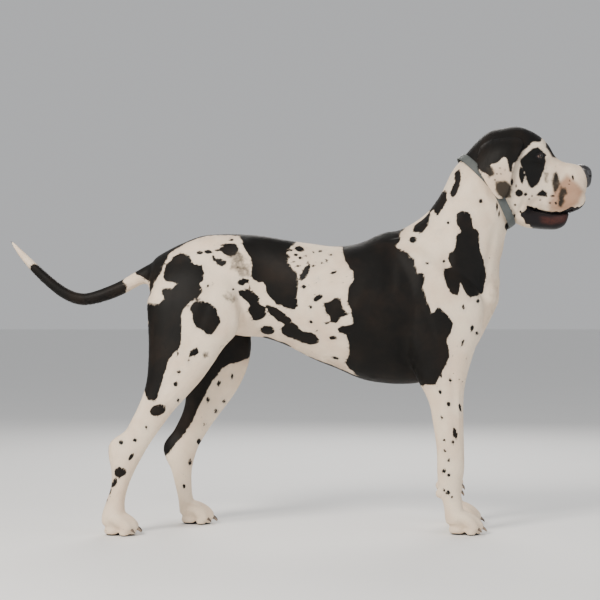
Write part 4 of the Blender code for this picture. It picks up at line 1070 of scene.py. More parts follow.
def shape_lids(co):
    """Opens the lids over the eyes and gives them a rim, all in millimetres."""
    co = co.copy()
    for side in SIDES.values():
        turn, centre = eye_frame(side)
        local = (co - centre) @ turn
        r = np.linalg.norm(local, axis=1)
        near = (r < LID_REACH) & (local[:, 2] > 0)
        measure = lid_measure(local[near])
        here = r[near]
        rim = EYE_RADIUS + LID_STANDS
        outer = rim + (here - rim) * ease(measure, 1.0, 1.0 + LID_BLEND)
        depth, at, width = LID_CREASE
        crease = depth * np.exp(-(((measure - at) / width) ** 2)) * (local[near][:, 1] > 0)
        end, over = LID_CREASE_END
        outer = outer + crease * (1 - np.clip((measure - end) / over, 0, 1))
        edge, soft = LID_EDGE
        opened = np.clip((edge - measure) / soft, 0, 1)
        target = outer + (EYE_RADIUS - LID_UNDER - outer) * opened
        co[near] = centre + (local[near] * (target / np.maximum(here, 1e-6))[:, None]) @ turn.T
    return co


def press_ear(obj, tree, side):
    """Lays an ear flap on the side of the head, each place standing off it as far as its y says."""
    mesh = obj.data
    for v in mesh.vertices:
        x, y, z = v.co
        hit = tree.ray_cast(Vector((x, side * 0.4, z)), Vector((0, -side, 0)))[0]
        v.co.y = y + (hit.y if hit else side * 0.05)
    soften(obj, 3)


def join(objects, name):
    """One mesh object of several, which are removed."""
    bm = bmesh.new()
    for obj in objects:
        bm.from_mesh(obj.data)
    for obj in objects:
        drop(obj)
    mesh = bpy.data.meshes.new(name)
    bm.to_mesh(mesh)
    bm.free()
    return mesh_object(name, mesh)


def thin_out(obj, triangles):
    """Lowers the count of triangles, most where the skin is flat."""
    count = sum(len(p.vertices) - 2 for p in obj.data.polygons)
    if count <= triangles:
        return
    thin = obj.modifiers.new("thin", "DECIMATE")
    thin.decimate_type = "COLLAPSE"
    thin.use_collapse_triangulate = True
    thin.ratio = triangles / count
    settle(obj)


def refine_where(obj, chosen):
    """Splits once the edges whose two ends chosen marks, for finer folds and spots."""
    bm = bmesh.new()
    bm.from_mesh(obj.data)
    marks = chosen(coords(obj.data) / MM)
    edges = [e for e in bm.edges if marks[e.verts[0].index] and marks[e.verts[1].index]]
    bmesh.ops.subdivide_edges(bm, edges=edges, cuts=1, use_grid_fill=True)
    bmesh.ops.triangulate(bm, faces=[f for f in bm.faces if len(f.verts) > 3])
    bm.to_mesh(obj.data)
    bm.free()


def near_eyes(reach):
    """A test for points near the lids of either eye."""
    x, y, z = EYE_CENTRE
    centre = np.array((x + 8, y + 8, z))
    return lambda co: np.linalg.norm(co * (1, 0, 1) + np.abs(co) * (0, 1, 0) - centre, axis=1) < reach


def near_detail(co):
    """A test for points near the lids, the corner of the mouth and small spots."""
    spots = spots_of(as_pixels(co, -1), RIGHT_SPOTS + FAR_LEG_SPOTS)
    spots = np.where(co[:, 1] < 0, spots, spots_of(as_pixels(co, 1), LEFT_SPOTS))
    mouth, _ = path_distance(co[:, [0, 2]], LIP_LINE)
    corner = (mouth < MOUTH_NEAR) & (co[:, 0] > MOUTH_REAR)
    return near_eyes(LID_NEAR)(co) | (spots > SPOT_NEAR) | corner


def near_face_spots(co):
    """A test for points near the edges of the small spots of the face."""
    spots = np.abs(spots_of(as_pixels(co, -1), RIGHT_SPOTS)) < FACE_SPOT_EDGE
    return spots & (co[:, 0] > HEAD_REAR) & (co[:, 2] > HEAD_LOW) & (co[:, 1] < 0)


COAT_DEEP = 1.5
COAT_THIN = 0.5
EAR_PLACE = ((515, 0, 950), (60, 1, 90))
EAR_SHARE = 0.4
CHIN_LOW = 760


def coat_depth(co):
    """How deep the coat is at each point in millimetres: thin on head, ears and feet."""
    head = 1 / (1 + np.exp(-(co[:, 0] - 560) / 16)) * (co[:, 2] > CHIN_LOW)
    head = np.maximum(head, bump_at(co * (1, 0, 1), *EAR_PLACE) > EAR_SHARE)
    feet = 1 / (1 + np.exp((co[:, 2] - 80) / 14))
    return COAT_DEEP - (COAT_DEEP - COAT_THIN) * np.maximum(head, feet)


def make_skin():
    """The whole skin: flesh and ears fused, modelled and thinned."""
    voxel = VOXEL * MM
    body = make_flesh()
    fuse(body, voxel, FUSE_ROUNDS)
    co = coords(body.data) / MM
    move_to(body.data, (co + coords(body.data, "normal") * form_push(co)[:, None]) * MM)
    tree = tree_of(body)
    parts = [body]
    for name, side in SIDES.items():
        flap = built(f"flap_{name}", loft, EAR, side=side, step=EAR_STEP, sides=EAR_SIDES)
        press_ear(flap, tree, side)
        parts.append(flap)
    skin = join(parts, "skin")
    fuse(skin, voxel, SKIN_ROUNDS)
    co = coords(skin.data) / MM
    push = crease_push(co) * calm_ear(co)
    move_to(skin.data, (co + coords(skin.data, "normal") * push[:, None]) * MM)
    soften(skin, SKIN_ROUNDS)
    thin_out(skin, SKIN_TRIANGLES)
    refine_where(skin, near_detail)
    refine_where(skin, near_face_spots)
    refine_where(skin, near_eyes(LID_CLOSE))
    co = coords(skin.data) / MM
    push = lip_push(co) - coat_depth(co)
    co = co + coords(skin.data, "normal") * push[:, None]
    co = shape_lids(co)
    co[:, 2] = np.maximum(co[:, 2], FLOOR_CLEAR)
    move_to(skin.data, co * MM)
    skin.data.shade_smooth()
    return skin


# How far out the ear flaps begin at each height.
EAR_LEVELS = ((860, 900, 960, 1010, 1040), (70, 74, 82, 84, 80))
EAR_SPAN = (450, 590)


def calm_ear(co):
    """0 on the ear flaps, 1 elsewhere."""
    heights, levels = EAR_LEVELS
    ear = np.abs(co[:, 1]) > np.interp(co[:, 2], heights, levels)
    rear, front = EAR_SPAN
    ear = ear & (co[:, 0] > rear) & (co[:, 0] < front) & (co[:, 2] > heights[0])
    return np.where(ear, 0.0, 1.0)


def as_pixels(co, side):
    """The pixels of points in millimetres, seen from their own side."""
    away = CAMERA_AWAY * 1000
    scale = away / (away - side * co[:, 1] * 1.0) if side > 0 else away / (away + co[:, 1])
    column = MID_COLUMN + co[:, 0] / PIXEL_MM * scale
    middle = FLOOR_ROW - CAMERA_HIGH * 1000 / PIXEL_MM
    row = middle - (co[:, 2] - CAMERA_HIGH * 1000) / PIXEL_MM * scale
    return np.stack([column, row], 1)


def inside_by(points, outline):
    """How far points lie inside an outline, negative outside, in the outline's own units."""
    outline = np.asarray(outline, float)
    closed = np.vstack([outline, outline[:1]])
    distance, _ = path_distance(points, closed)
    x, y = points[:, 0], points[:, 1]
    within = np.zeros(len(points), bool)
    for (x0, y0), (x1, y1) in zip(closed, closed[1:]):
        if y0 == y1:
            continue
        crosses = (y0 > y) != (y1 > y)
        within ^= crosses & (x < (x1 - x0) * (y - y0) / (y1 - y0) + x0)
    return np.where(within, distance, -distance)


FAR_OFF = 40.0


def union_of(points, patches):
    """How far points lie inside the nearest of several outlines."""
    best = np.full(len(points), -FAR_OFF)
    for outline in patches.values():
        corners = np.array(outline, float)
        low, high = corners.min(0) - FAR_OFF, corners.max(0) + FAR_OFF
        close = ((points > low) & (points < high)).all(1)
        best[close] = np.maximum(best[close], inside_by(points[close], outline))
    return best


def spots_of(points, spots):
    """How far points lie inside the nearest of several small spots."""
    best = np.full(len(points), -FAR_OFF)
    for column, row, long, high, slant in spots:
        turn = math.radians(slant)
        off = points - (column, row)
        u = (off[:, 0] * math.cos(turn) + off[:, 1] * math.sin(turn)) / long
        v = (off[:, 1] * math.cos(turn) - off[:, 0] * math.sin(turn)) / high
        best = np.maximum(best, (1 - np.hypot(u, v)) * SPOT_FIRMNESS * (long * high) ** 0.5)
    return best


def ease(value, low, high):
    t = np.clip((value - low) / (high - low), 0, 1)
    return t * t * (3 - 2 * t)


# Where markings start and end, each as (low, high) in millimetres or in shares.
SPOT_FIRMNESS = 1.15
BARE_SHARE = 0.5
SPINE_FRONT = 440
SPINE_OVER = 20.0
SPINE_BLEND = 7.0
LEFT_WAVE = 1.5
LIP_WAVE = 2.4
PHILTRUM_HALF = 5.0
PHILTRUM_TOP = 915.0
PHILTRUM_LOW = 838.0
PHILTRUM_SPREAD = 0.52
FAR_LEG_RISE = (30, 50)
FAR_LEG_FRONT = (60, 100)
FAR_LEG_TOP = (-600, -560)
FAR_LEG_FACES = (-0.15, 0.15)
HEAD_FROM = 560
LIP_EDGE = (-4.5, 3.0)
PINK_EDGE = (-12.0, 6.0)
RED_EDGE = (-5.0, 7.0)
MOTTLE_EDGE = (-8.0, 7.0)
BAND_WIDENS = (690, 712)
BAND_SOFT = 1.6
BAND_STARTS = (588, 598)
BAND_TOP = 868
LID_PAINT = 26
LID_RIM = (1.0, 1.45)
PAD_FACES = (0.55, 0.8)
PAD_LOW = (-16, -7)
FACE_START = (500, 14)
SHORT_LEGS = (-110, -60)


def left_wave(x, z):
    """A slow ripple that keeps the left side's outlines from running straight."""
    return np.sin(0.11 * x + 1.3 * np.sin(0.07 * z)) + np.sin(0.13 * z + 1.7 * np.sin(0.09 * x + 1.0))


def lip_curl(x, y, z):
    """A short ripple along the edge of the bare lips."""
    return LIP_WAVE * np.sin(0.31 * x + 0.17 * y + 2.0 * np.sin(0.23 * z + 0.2 * y))


def marking_fields(co, normal):
    """The coat's fields at points in millimetres: black patches in millimetres, the others as shares."""
    x, y, z = co.T
    right = union_of(as_pixels(co, -1), RIGHT_PATCHES)
    left = union_of(as_pixels(co, 1), LEFT_PATCHES)
    far = union_of(as_pixels(co, -1), FAR_LEG_PATCHES)
    right = np.maximum(right, spots_of(as_pixels(co, -1), RIGHT_SPOTS))
    left = np.maximum(left, spots_of(as_pixels(co, 1), LEFT_SPOTS))
    far = np.maximum(far, spots_of(as_pixels(co, -1), FAR_LEG_SPOTS))
    over = np.where(x > SPINE_FRONT, 0.0, SPINE_OVER)
    to_left = ease(y + over, -SPINE_BLEND, SPINE_BLEND)
    left = left + LEFT_WAVE * left_wave(x, z)
    patch = right + (left - right) * to_left
    leg = ease(y, *FAR_LEG_RISE) * ease(-x, *FAR_LEG_FRONT) * ease(-z, *FAR_LEG_TOP)
    inner = leg * ease(-normal[:, 1], *FAR_LEG_FACES)
    patch = patch + (far - patch) * inner
    patch = patch * PIXEL_MM
    seen = np.where((y < 0)[:, None], as_pixels(co, -1), as_pixels(co, 1))
    head = x > HEAD_FROM
    curl = lip_curl(x, y, z)
    lips = union_of(seen, LIP_PATCHES) * PIXEL_MM + curl
    narrow = PHILTRUM_HALF + (PHILTRUM_TOP - z) * PHILTRUM_SPREAD - np.abs(y) + curl
    lips = np.where(z > PHILTRUM_LOW, np.minimum(lips, narrow), lips)
    lips = ease(lips, *LIP_EDGE) * head
    pink = ease(union_of(seen, PINK_PATCHES) * PIXEL_MM, *PINK_EDGE) * head
    red = ease(union_of(seen, RED_PATCHES) * PIXEL_MM, *RED_EDGE) * head
    line, _ = path_distance(co[:, [0, 2]], LIP_LINE)
    narrow_band, wide_band = LIP_BAND
    band = narrow_band + (wide_band - narrow_band) * ease(x, *BAND_WIDENS)
    rolled = ease(band - line, -BAND_SOFT, BAND_SOFT) * ease(x, *BAND_STARTS) * (z < BAND_TOP)
    lips = np.maximum(lips, rolled)
    for side in SIDES.values():
        turn, centre = eye_frame(side)
        local = (co - centre) @ turn
        close = (np.linalg.norm(local, axis=1) < LID_PAINT) & (local[:, 2] > 0)
        rim = np.zeros(len(co))
        rim[close] = 1 - ease(lid_measure(local[close]), *LID_RIM)
        lips = np.maximum(lips, rim)
    bare = np.zeros(len(co))
    for centre, reach, amount in BARE_PLACES:
        for side in (1, -1) if centre[1] else (1,):
            bare = np.maximum(bare, amount * bump_at(co, np.array(centre) * (1, side, 1), reach))
    pink = np.maximum(pink, bare * BARE_SHARE)
    pads = ease(-normal[:, 2], *PAD_FACES) * ease(-z, *PAD_LOW)
    red = np.where(line > narrow_band, red, 0.0)
    mottle = np.zeros(len(co))
    for strength, outline in MOTTLES.values():
        soft = ease(union_of(seen, {"one": outline}) * PIXEL_MM, *MOTTLE_EDGE)
        mottle = np.maximum(mottle, strength * soft * (y < 0))
    start, over = FACE_START
    face = 1 / (1 + np.exp(-(x - start) / over)) * (z > CHIN_LOW)
    short = np.maximum(face, ease(-z, *SHORT_LEGS))
    fields = {"patch": patch, "lips": lips, "red": red, "pink": pink, "pads": pads}
    return dict(fields, short=short, mottle=mottle)


def write_fields(mesh, fields, root):
    """Stores the coat's fields and each point's root on a mesh."""
    for name, values in fields.items():
        layer = mesh.attributes.new(name, "FLOAT", "POINT")
        layer.data.foreach_set("value", np.ascontiguousarray(values, np.float32))
    layer = mesh.attributes.new("root", "FLOAT_VECTOR", "POINT")
    layer.data.foreach_set("vector", np.ascontiguousarray(root, np.float32).ravel())


def lie_at(co, normal):
    """The lie of the coat at points in millimetres, along the skin."""
    total = np.zeros_like(co)
    for place, way in COAT_LIE:
        for side in (1, -1) if place[1] else (1,):
            centre = np.array(place) * (1, side, 1)
            weight = np.exp(-(((co - centre) ** 2).sum(1)) / LIE_REACH**2) + 1e-12
            aim = np.array(way, float) * (1, side, 1)
            total += weight[:, None] * aim / np.linalg.norm(aim)
    total -= normal * (total * normal).sum(1)[:, None]
    return total / np.maximum(np.linalg.norm(total, axis=1), 1e-9)[:, None]


class Term:
    """A socket in a shader expression: sums, products, quotients and limits add their Math nodes."""

    def __init__(self, graph, socket):
        self.graph = graph
        self.socket = socket

    def math(self, operation, *others):
        return self.graph.add("ShaderNodeMath", (self, *others), operation=operation)

    def __add__(self, other):
        return self.math("ADD", other)

    def __sub__(self, other):
        return self.math("SUBTRACT", other)

    def __mul__(self, other):
        return self.math("MULTIPLY", other)

    def __truediv__(self, other):
        return self.math("DIVIDE", other)

    def __rsub__(self, other):
        return self.graph.add("ShaderNodeMath", (other, self), operation="SUBTRACT")

    def least(self, other):
        return self.math("MINIMUM", other)

    def most(self, other):
        return self.math("MAXIMUM", other)

    def ramp(self, low, high):
        """0 below low, 1 above high and smooth between."""
        words = {"data_type": "FLOAT", "interpolation_type": "SMOOTHSTEP"}
        return self.graph.add("ShaderNodeMapRange", (self, low, high, 0.0, 1.0), **words)

    __radd__ = __add__
    __rmul__ = __mul__


class Graph:
    """A material and its nodes."""

    def __init__(self, name):
        self.material = bpy.data.materials.new(name)
        self.material.use_nodes = True
        self.tree = self.material.node_tree
        self.shader = self.tree.nodes["Principled BSDF"]

    def add(self, kind, values=(), out=0, **settings):
        """A node of this kind, its settings first, then values or links by place or by name."""
        node = self.tree.nodes.new(kind)
        for name, value in settings.items():
            setattr(node, name, value)
        pairs = values.items() if isinstance(values, dict) else enumerate(values)
        for key, value in pairs:
            self.give(node.inputs[key], value)
        return Term(self, node.outputs[out])

    def give(self, socket, value):
        if isinstance(value, Term):
            self.tree.links.new(value.socket, socket)
        elif hasattr(socket.default_value, "__len__"):
            whole = tuple(value)
            if len(socket.default_value) == 4 and len(whole) == 3:
                whole = (*whole, 1.0)
            socket.default_value = whole
        else:
            socket.default_value = value

    def set(self, **inputs):
        for name, value in inputs.items():
            self.give(self.shader.inputs[name.replace("_", " ")], value)

    def place(self):
        return self.add("ShaderNodeTexCoord", out="Object")

    def field(self, name, out="Fac"):
        return self.add("ShaderNodeAttribute", out=out, attribute_type="GEOMETRY", attribute_name=name)

    def noise(self, vector, scale, detail):
        words = {"Vector": vector, "Scale": scale, "Detail": detail, "Roughness": NOISE_ROUGHNESS}
        return self.add("ShaderNodeTexNoise", words, noise_dimensions="3D")

    def mapped(self, vector, rotation=(0, 0, 0), scale=(1, 1, 1)):
        words = {"Vector": vector, "Rotation": rotation, "Scale": scale}
        return self.add("ShaderNodeMapping", words, vector_type="POINT")

    def mix(self, factor, first, second):
        node = self.tree.nodes.new("ShaderNodeMix")
        node.data_type = "RGBA"
        self.give(node.inputs[0], factor)
        self.give(node.inputs[6], first)
        self.give(node.inputs[7], second)
        return Term(self, node.outputs[2])

    def bump(self, height, distance, strength):
        words = {"Height": height, "Distance": distance, "Strength": strength}
        return self.add("ShaderNodeBump", words)


FIELD_NAMES = ("patch", "lips", "red", "pink", "pads", "short", "mottle", "legs")


# The coat's material: how its edges, ticks and hair look; scales are per metre.
NOISE_ROUGHNESS = 0.55
EDGE_WOBBLE = (70.0, 9.0)
EDGE_RAGGED = (260.0, 7.0)
EDGE_LEAN = math.radians(30)
EDGE_SOFT = (0.9, 1.3)
TICK_SCALE = 95.0
TICK_ZONE = 8.0
TONE_SCALE = 14.0
FINE_SCALE = 420.0
MOTTLE_SCALE = 85.0
STROKE_SCALE = 1100.0
STROKE_STRETCH = (0.12, 1.0, 1.0)
STROKE_LIES = {"along": (0.0, math.radians(-24), 0.0), "down": (0.0, math.radians(-84), 0.0)}
BUMP_DEPTH = 0.0006


def strokes(g, place, lie):
    """Fine hair strokes that run one way."""
    return g.noise(g.mapped(place, rotation=STROKE_LIES[lie], scale=STROKE_STRETCH), STROKE_SCALE, 2.0)


def coat_material(name, colours):
    """The harlequin coat: warm white and black with ragged edges, grey ticking, pink and bare skin."""
    g = Graph(name)
    root = g.field("root", out="Vector")
    patch = g.field("patch")
    short = g.field("short")
    wobble_scale, wobble_reach = EDGE_WOBBLE
    wobble = g.noise(root, wobble_scale, 2.0) - 0.5
    tilted = g.mapped(root, rotation=(0, EDGE_LEAN, 0), scale=(1.0, 1.0, 2.2))
    ragged_scale, ragged_reach = EDGE_RAGGED
    ragged = g.noise(tilted, ragged_scale, 3.0) - 0.5
    edge = patch + (wobble * wobble_reach + ragged * ragged_reach) * (1.0 - short * 0.30)
    soft_long, soft_short = EDGE_SOFT
    black = (edge / (soft_long + short * soft_short)).ramp(-1.0, 1.0)
    dots = g.noise(root, TICK_SCALE, 1.0)
    zone = g.noise(root, TICK_ZONE, 1.0)
    tick = dots.ramp(0.735, 0.76) * zone.ramp(0.50, 0.60) * (1.0 - short * 0.5)
    black = black.most(tick * 0.8)
    tone = g.noise(root, TONE_SCALE, 4.0)
    fine = g.noise(root, FINE_SCALE, 2.0)
    white = g.mix(tone.ramp(0.35, 0.75), colours["white"], colours["cream"])
    white = g.mix(fine.ramp(0.3, 0.8) * 0.20, white, colours["grey"])
    shade = (patch + wobble * 14.0).ramp(-14.0, 1.0)
    white = g.mix(shade * 0.20, white, colours["grey"])
    pink = g.field("pink")
    white = g.mix(pink * (0.70 + tone * 0.5).least(1.0), white, colours["pink"])
    dark = g.mix(tone.ramp(0.4, 0.8) * 0.8, colours["black"], colours["brown"])
    colour = g.mix(black, white, dark)
    cover = (g.field("mottle") * 1.25 + (g.noise(root, MOTTLE_SCALE, 4.0) - 0.5) * 1.2).ramp(0.15, 1.05)
    colour = g.mix(cover * 0.97, colour, colours["smoke"])
    lips = g.field("lips")
    pads = g.field("pads")
    wet = lips.most(pads).ramp(0.35, 0.65)
    red = g.field("red")
    colour = g.mix(wet, colour, colours["lip"])
    flecked = g.mix((ragged + 0.5).ramp(0.3, 0.9), colours["red"], colours["lip"])
    colour = g.mix(red * 0.9, colour, flecked)
    g.set(Base_Color=colour)
    g.set(Roughness=0.60 - black * 0.10 - wet.most(red) * 0.22 + fine * 0.08)
    place = g.place()
    along = strokes(g, place, "along")
    hair = along + (strokes(g, place, "down") - along) * g.field("legs")
    soft = g.noise(place, 150.0, 3.0)
    height = hair * (1.0 - wet) + soft * 0.35
    g.set(Normal=g.bump(height, BUMP_DEPTH, 0.45))
    g.shader.inputs["Sheen Weight"].default_value = 0.02
    g.shader.inputs["Sheen Roughness"].default_value = 0.4
    g.shader.inputs["Specular IOR Level"].default_value = 0.12
    return g.material


def colour_words(settings):
    names = ("white", "cream", "grey", "black", "brown", "smoke", "pink", "red", "lip")
    return {name: tuple(getattr(settings, name)) for name in names}


class DaneCoatSettings(bpy.types.PropertyGroup):
    white: bpy.props.FloatVectorProperty(
        name="White", description="The white hair", subtype="COLOR", size=3, default=(0.85, 0.70, 0.53)
    )
    cream: bpy.props.FloatVectorProperty(
        name="Cream", description="The warmer white", subtype="COLOR", size=3, default=(0.76, 0.58, 0.42)
    )
    grey: bpy.props.FloatVectorProperty(
        name="Grey", description="Dark skin under thin white hair", subtype="COLOR", size=3,
        default=(0.40, 0.38, 0.37),
    )
    black: bpy.props.FloatVectorProperty(
        name="Black", description="The black hair", subtype="COLOR", size=3, default=(0.006, 0.0055, 0.005)
    )
    brown: bpy.props.FloatVectorProperty(
        name="Brown", description="The sheen of black hair", subtype="COLOR", size=3,
        default=(0.016, 0.011, 0.008),
    )
    smoke: bpy.props.FloatVectorProperty(
        name="Smoke", description="Black and white hair mixed", subtype="COLOR", size=3,
        default=(0.024, 0.019, 0.014),
    )
    pink: bpy.props.FloatVectorProperty(
        name="Pink", description="Skin where the coat is thin", subtype="COLOR", size=3,
        default=(0.37, 0.215, 0.135),
    )
    lip: bpy.props.FloatVectorProperty(
        name="Lip", description="Bare black skin", subtype="COLOR", size=3, default=(0.012, 0.010, 0.011)
    )
    red: bpy.props.FloatVectorProperty(
        name="Red", description="Dark red brown skin of the lower lip", subtype="COLOR", size=3,
        default=(0.070, 0.024, 0.019),
    )
    tufts: bpy.props.IntProperty(
        name="Tufts", description="Tufts on each coat piece", default=19000, min=100, max=19500
    )
    seed: bpy.props.IntProperty(name="Seed", description="Start of the random draw", default=7, min=0)


class DaneEyeSettings(bpy.types.PropertyGroup):
    iris: bpy.props.FloatVectorProperty(
        name="Iris", description="The colour of the iris", subtype="COLOR", size=3,
        default=(0.030, 0.014, 0.007),
    )
    radius: bpy.props.FloatProperty(
        name="Radius", description="Radius of the eyeball", subtype="DISTANCE", unit="LENGTH",
        default=EYE_RADIUS * MM, min=0.008, max=0.016,
    )


class DaneStageSettings(bpy.types.PropertyGroup):
    away: bpy.props.FloatProperty(
        name="Camera away", description="The camera's distance from the middle of the dog",
        subtype="DISTANCE", unit="LENGTH", default=CAMERA_AWAY,
    )
    high: bpy.props.FloatProperty(
        name="Camera high", description="The camera's height over the floor",
        subtype="DISTANCE", unit="LENGTH", default=CAMERA_HIGH,
    )
    key: bpy.props.FloatProperty(
        name="Key", description="Power of the main light", subtype="POWER", unit="POWER", default=205.0
    )
    floor: bpy.props.FloatVectorProperty(
        name="Floor", description="The floor's colour", subtype="COLOR", size=3, default=(0.86, 0.86, 0.85)
    )


SHARED = {}


class DANE_OT_skin(bpy.types.Operator):
    """Fuses the flesh into one skin with folds and lids, and paints the markings on it"""

    bl_idname = "dane.skin"
    bl_label = "Skin"

    def execute(self, context):
        skin = make_skin()
        skin.name = "skin"
        co = coords(skin.data) / MM
        normal = coords(skin.data, "normal")
        write_fields(skin.data, dict(marking_fields(co, normal), legs=leg_share(co)), co * MM)
        material = coat_material("coat skin", colour_words(context.scene.dane_coat))
        skin.data.materials.append(material)
        SHARED["skin"] = skin
        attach(skin, "root")
        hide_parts(*FLESH)
        return {"FINISHED"}


def leg_share(co):
    """1 on the legs, neck and chest's front, where the coat runs down, 0 on the trunk."""
    x, _, z = co.T
    legs = 1 - ease(z, 420, 540)
    front = ease(x, 380, 470) * ease(-z, -900, -840)
    rear = ease(-x, 330, 390) * ease(-z, -640, -600) * ease(x, -460, -440)
    return np.clip(np.maximum(np.maximum(legs, front), rear), 0, 1)


def stand_out(co):
    """How much higher than elsewhere the tips of the hair stand, in millimetres."""
    high = np.zeros(len(co))
    for centre, reach, rise in BREAKS.values():
        for side in (1, -1) if centre[1] else (1,):
            high = np.maximum(high, rise * bump_at(co, np.array(centre) * (1, side, 1), reach))
    return high


# The unwrap of the body: the axes of hind legs and trunk, where limbs begin, and its cells.
HIND_AXIS_Z = (30, 130, 240, 346, 470)
HIND_AXIS_X = {"right": (-483, -470, -445, -355, -300), "left": (-306, -322, -315, -252, -250)}
TRUNK_AXIS = ((-400, 200, 540), (650, 600, 780))
TRUNK_REAR, TRUNK_LONG = -420, 980
HEAD_LONG, HEAD_MIDDLE = 290, 930
TAIL_FROM, TAIL_LONG, TAIL_OVER = -415, 370, 560
FORE_TOP, FORE_FROM, FORE_SPREAD, FORE_AXIS = 430, 200, 98, {"right": 388, "left": 400}
HIND_TOP, HIND_SPREAD = 480, 110
CELLS = 3
CELL_SHARE = 0.30
CELL_EDGE = 0.016


def bake_place(co):
    """Where points lie on an unwrap of the body: each limb unrolled along its axis in its own cell."""
    x, y, z = co.T
    tail_line = np.array(TAIL)
    tail_axis = np.interp(-x, -tail_line[:, 0], tail_line[:, 1])
    cells = [
        (np.ones(len(co), bool), (x - TRUNK_REAR) / TRUNK_LONG, y, z - np.interp(x, *TRUNK_AXIS)),
        ((x > HEAD_REAR) & (z > HEAD_LOW), (x - HEAD_REAR) / HEAD_LONG, y, z - HEAD_MIDDLE),
        ((x < TAIL_FROM) & (z > TAIL_OVER), (TAIL_FROM - x) / TAIL_LONG, y, z - tail_axis),
    ]
    for name, side in SIDES.items():
        leg = (z < FORE_TOP) & (x > FORE_FROM) & (side * y > 0)
        cells.append((leg, z / FORE_TOP, y - side * FORE_SPREAD, x - FORE_AXIS[name]))
    for name, side in SIDES.items():
        leg = (z < HIND_TOP) & (x < LEGS_PART) & (side * y > 0)
        axis = np.interp(z, HIND_AXIS_Z, HIND_AXIS_X[name])
        cells.append((leg, z / HIND_TOP, y - side * HIND_SPREAD, x - axis))
    place = np.zeros((len(co), 2))
    for cell, (chosen, along, across, out) in enumerate(cells):
        turn = 0.5 + np.arctan2(across, out) / (2 * math.pi)
        corner = np.array((cell % CELLS, cell // CELLS)) / CELLS
        inner = np.stack([np.clip(along, 0, 1), turn], 1) * CELL_SHARE + CELL_EDGE
        place[chosen] = (corner + inner)[chosen]
    return place


def draw_roots(skin, low, high, count, rng):
    """Places on the skin between two stations along the body: points, normals and the skin's fields."""
    mesh = skin.data
    mesh.calc_loop_triangles()
    corners = np.empty(len(mesh.loop_triangles) * 3, np.int32)
    mesh.loop_triangles.foreach_get("vertices", corners)
    corners = corners.reshape(-1, 3)
    co, normal = coords(mesh) / MM, coords(mesh, "normal")
    fields = {}
    for name in FIELD_NAMES:
        values = np.empty(len(co), np.float32)
        mesh.attributes[name].data.foreach_get("value", values)
        fields[name] = values
    a, b, c = (co[corners[:, i]] for i in range(3))
    area = np.linalg.norm(np.cross(b - a, c - a), axis=1) / 2
    middle = (a + b + c) / 3
    bare = np.maximum.reduce([fields[name][corners].max(1) for name in ("lips", "red", "pads")])
    clear = near_eyes(EYE_CLEAR)(middle)
    for x, y, z in NIPPLES:
        off = np.stack([middle[:, 0] - x, np.abs(middle[:, 1]) - y, middle[:, 2] - z], 1)
        clear |= np.linalg.norm(off, axis=1) < NIPPLE_CLEAR
    keep = (middle[:, 0] >= low) & (middle[:, 0] < high) & (bare < BARE_LIMIT) & ~clear
    keep &= middle[:, 2] > SOLE_CLEAR
    weight = area * keep * (1 + stand_out(middle)) * (1 + fields["short"][corners].mean(1))
    chosen = rng.choice(len(corners), count, p=weight / weight.sum())
    first, second = np.sqrt(rng.random(count)), rng.random(count)
    share = np.stack([1 - first, first * (1 - second), first * second], 1)
    trio = corners[chosen]
    place = (co[trio] * share[:, :, None]).sum(1)
    out = (normal[trio] * share[:, :, None]).sum(1)
    out /= np.linalg.norm(out, axis=1)[:, None]
    return place, out, {name: (values[trio] * share).sum(1) for name, values in fields.items()}


TUFT_FACES = (
    (0, 1, 2), (0, 4, 1), (0, 3, 4), (1, 5, 2), (1, 4, 5), (2, 3, 0), (2, 5, 3),
    (3, 6, 4), (4, 6, 5), (5, 6, 3),
)
TUFT_FLAT = ((-1, -1), (1, -1), (0, -0.6), (-0.8, 0), (0.8, 0), (0, 0.2), (0, 1))


